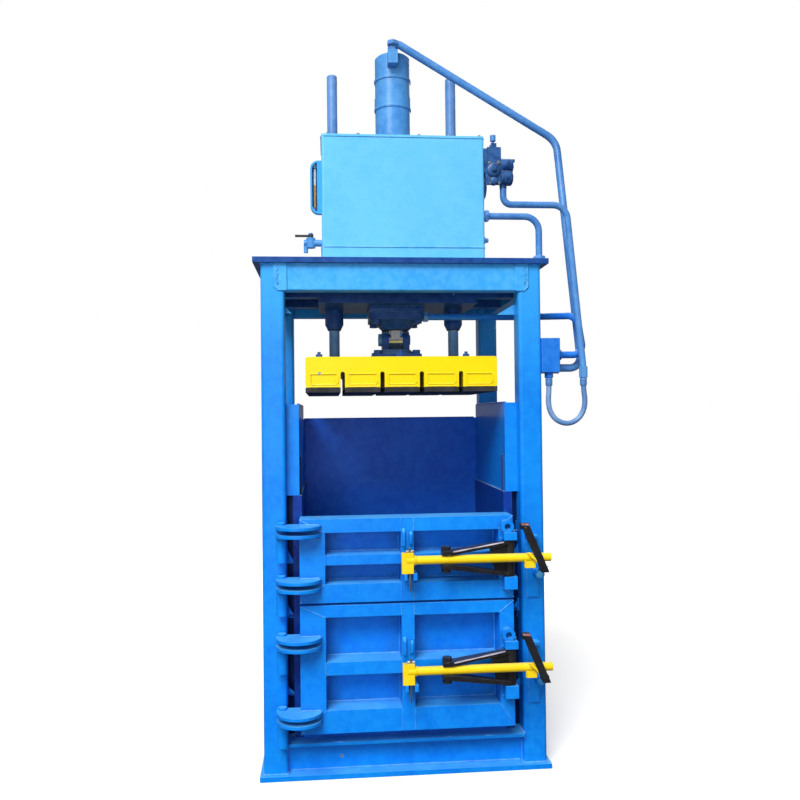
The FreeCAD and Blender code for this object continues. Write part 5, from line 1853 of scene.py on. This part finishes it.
@dataclass
class Ram:
    """Weld beads, plate lip and rod wipers of the pressing ram and its cylinder, and a dark cover over the cylinder's
    flange as painted shade.
    """

    y: float = -110.0
    platen_top: float = 1692.0
    platen_low: float = 1565.0
    front: float = -440.0
    guide_x: float = 275.0
    guide_y: float = -50.0
    guide_wiper: float = 1838.0
    rod_wiper: float = 1829.0
    bands: tuple[float, ...] = (2960.0, 2830.0)
    flange_low: float = 1904.6
    flange_half: float = 121.0
    flange_bolt: float = 98.0

    def build(self) -> None:
        """Build the moving and the fixed dressing."""
        shop = Shop()
        for side in (-1, 1):
            shop.lathe((self.guide_x * side, self.guide_y, self.platen_top + 14), Axis.Z,
                       ((0, 40), (3, 37), (7, 30), (11, 26), (14, 24.6)), 36,
                       lambda turn: 1 + 0.02 * math.sin(turn * 18))
        foot = 111
        rim = ((-foot, -foot), (foot, -foot), (foot, foot), (-foot, foot), (-foot, -foot))
        shop.bead([(across, self.y + along, self.platen_top + 2) for across, along in rim], 4.2)
        shop.done("ram_foot_welds", NAVY_AND_SHADE, Body.RAM)
        for centre in (-323, -164, 0, 164, 323):
            wide = 62 if abs(centre) < 300 else 58
            left, right = centre - wide, centre + wide
            lip = self.platen_low + 3
            shop.bead(((left, self.front - 0.2, lip), (right, self.front - 0.2, lip)), 2.6, 7.0)
            low, high, cut = self.platen_low + 12, self.platen_low + 56, 7
            rim = ((left + cut, low), (right - cut, low), (right, low + cut), (right, high - cut),
                   (right - cut, high), (left + cut, high), (left, high - cut), (left, low + cut),
                   (left + cut, low))
            shop.tube([(across, self.front + 0.6, level) for across, level in rim], 2.8, 8)
        shop.done("platen_lip_beads", YELLOW, Body.RAM)
        for side in (-1, 1):
            shop.lathe((self.guide_x * side, self.guide_y, self.guide_wiper), Axis.Z,
                       ((0, 25.5), (1, 30), (4, 31), (6, 30)), 36)
        shop.lathe((0, self.y, self.rod_wiper), Axis.Z, ((0, 47), (1.5, 56), (5, 58), (7, 58)), 40)
        shop.done("rod_wipers", PAD)
        for level in self.bands:
            shop.lathe((0, self.y, level), Axis.Z, ((0, 80), (2, 84), (8, 85), (14, 84), (16, 80)), 56)
        shop.done("barrel_bands", CYLINDER)
        shop.lathe((0, self.y, 3077), Axis.Z, ((-1, 30), (6, 30), (8, 27)), 6)
        shop.lathe((0, self.y, 2092), Axis.Z, ((0, 81), (2, 90), (7, 91), (10, 86), (13, 81)), 48)
        shop.done("barrel_trims", CYLINDER)
        # dark navy block over the light-blue flange: painted shade under the roof
        half = self.flange_half
        shop.block((-half, self.y - half, self.flange_low), (2 * half, 2 * half, 28.6), 2.5)
        for turn in range(4):
            across, along = (self.flange_bolt * (1 - 2 * share) for share in (turn % 2, turn // 2))
            shop.hexagon((across, self.y + along, 1904.8), Axis.DOWN, 26, 16)
        shop.bead(((-120, self.y - 122, 1932), (120, self.y - 122, 1932)))
        shop.done("cylinder_flange_rim", NAVY_AND_SHADE)


def main() -> None:
    """Build the studio, the cord and every sub-assembly, then write the sizes."""
    logging.basicConfig(level=logging.INFO, format="%(name)s: %(message)s")
    shell = [list(corner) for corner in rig.bounds()]
    studio = Studio()
    studio.camera()
    HoseLoop().build()
    studio.room()
    Paints.dress_nodes()
    PostFrame().build()
    Chamber().build()
    Door("upper", Body.UPPER_DOOR, ((711, 784), (859, 898), (987, 1041)), UPPER_HINGES).build()
    Door("lower", Body.LOWER_DOOR, ((200, 290), (427, 478), (654, 701)), LOWER_HINGES).build()
    Latch("upper", UPPER_LATCH, Body.UPPER_YOKE, Body.UPPER_BAR, Body.UPPER_PIN, Body.UPPER_DOOR).build()
    Latch("lower", LOWER_LATCH, Body.LOWER_YOKE, Body.LOWER_BAR, Body.LOWER_PIN, Body.LOWER_DOOR).build()
    Tank().build()
    Drive().build()
    Ram().build()
    with open("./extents.json", "w", encoding="utf-8") as out:
        json.dump({"cad": shell, "visual": [list(corner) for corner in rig.bounds()]}, out)


if __name__ == "__main__":
    main()
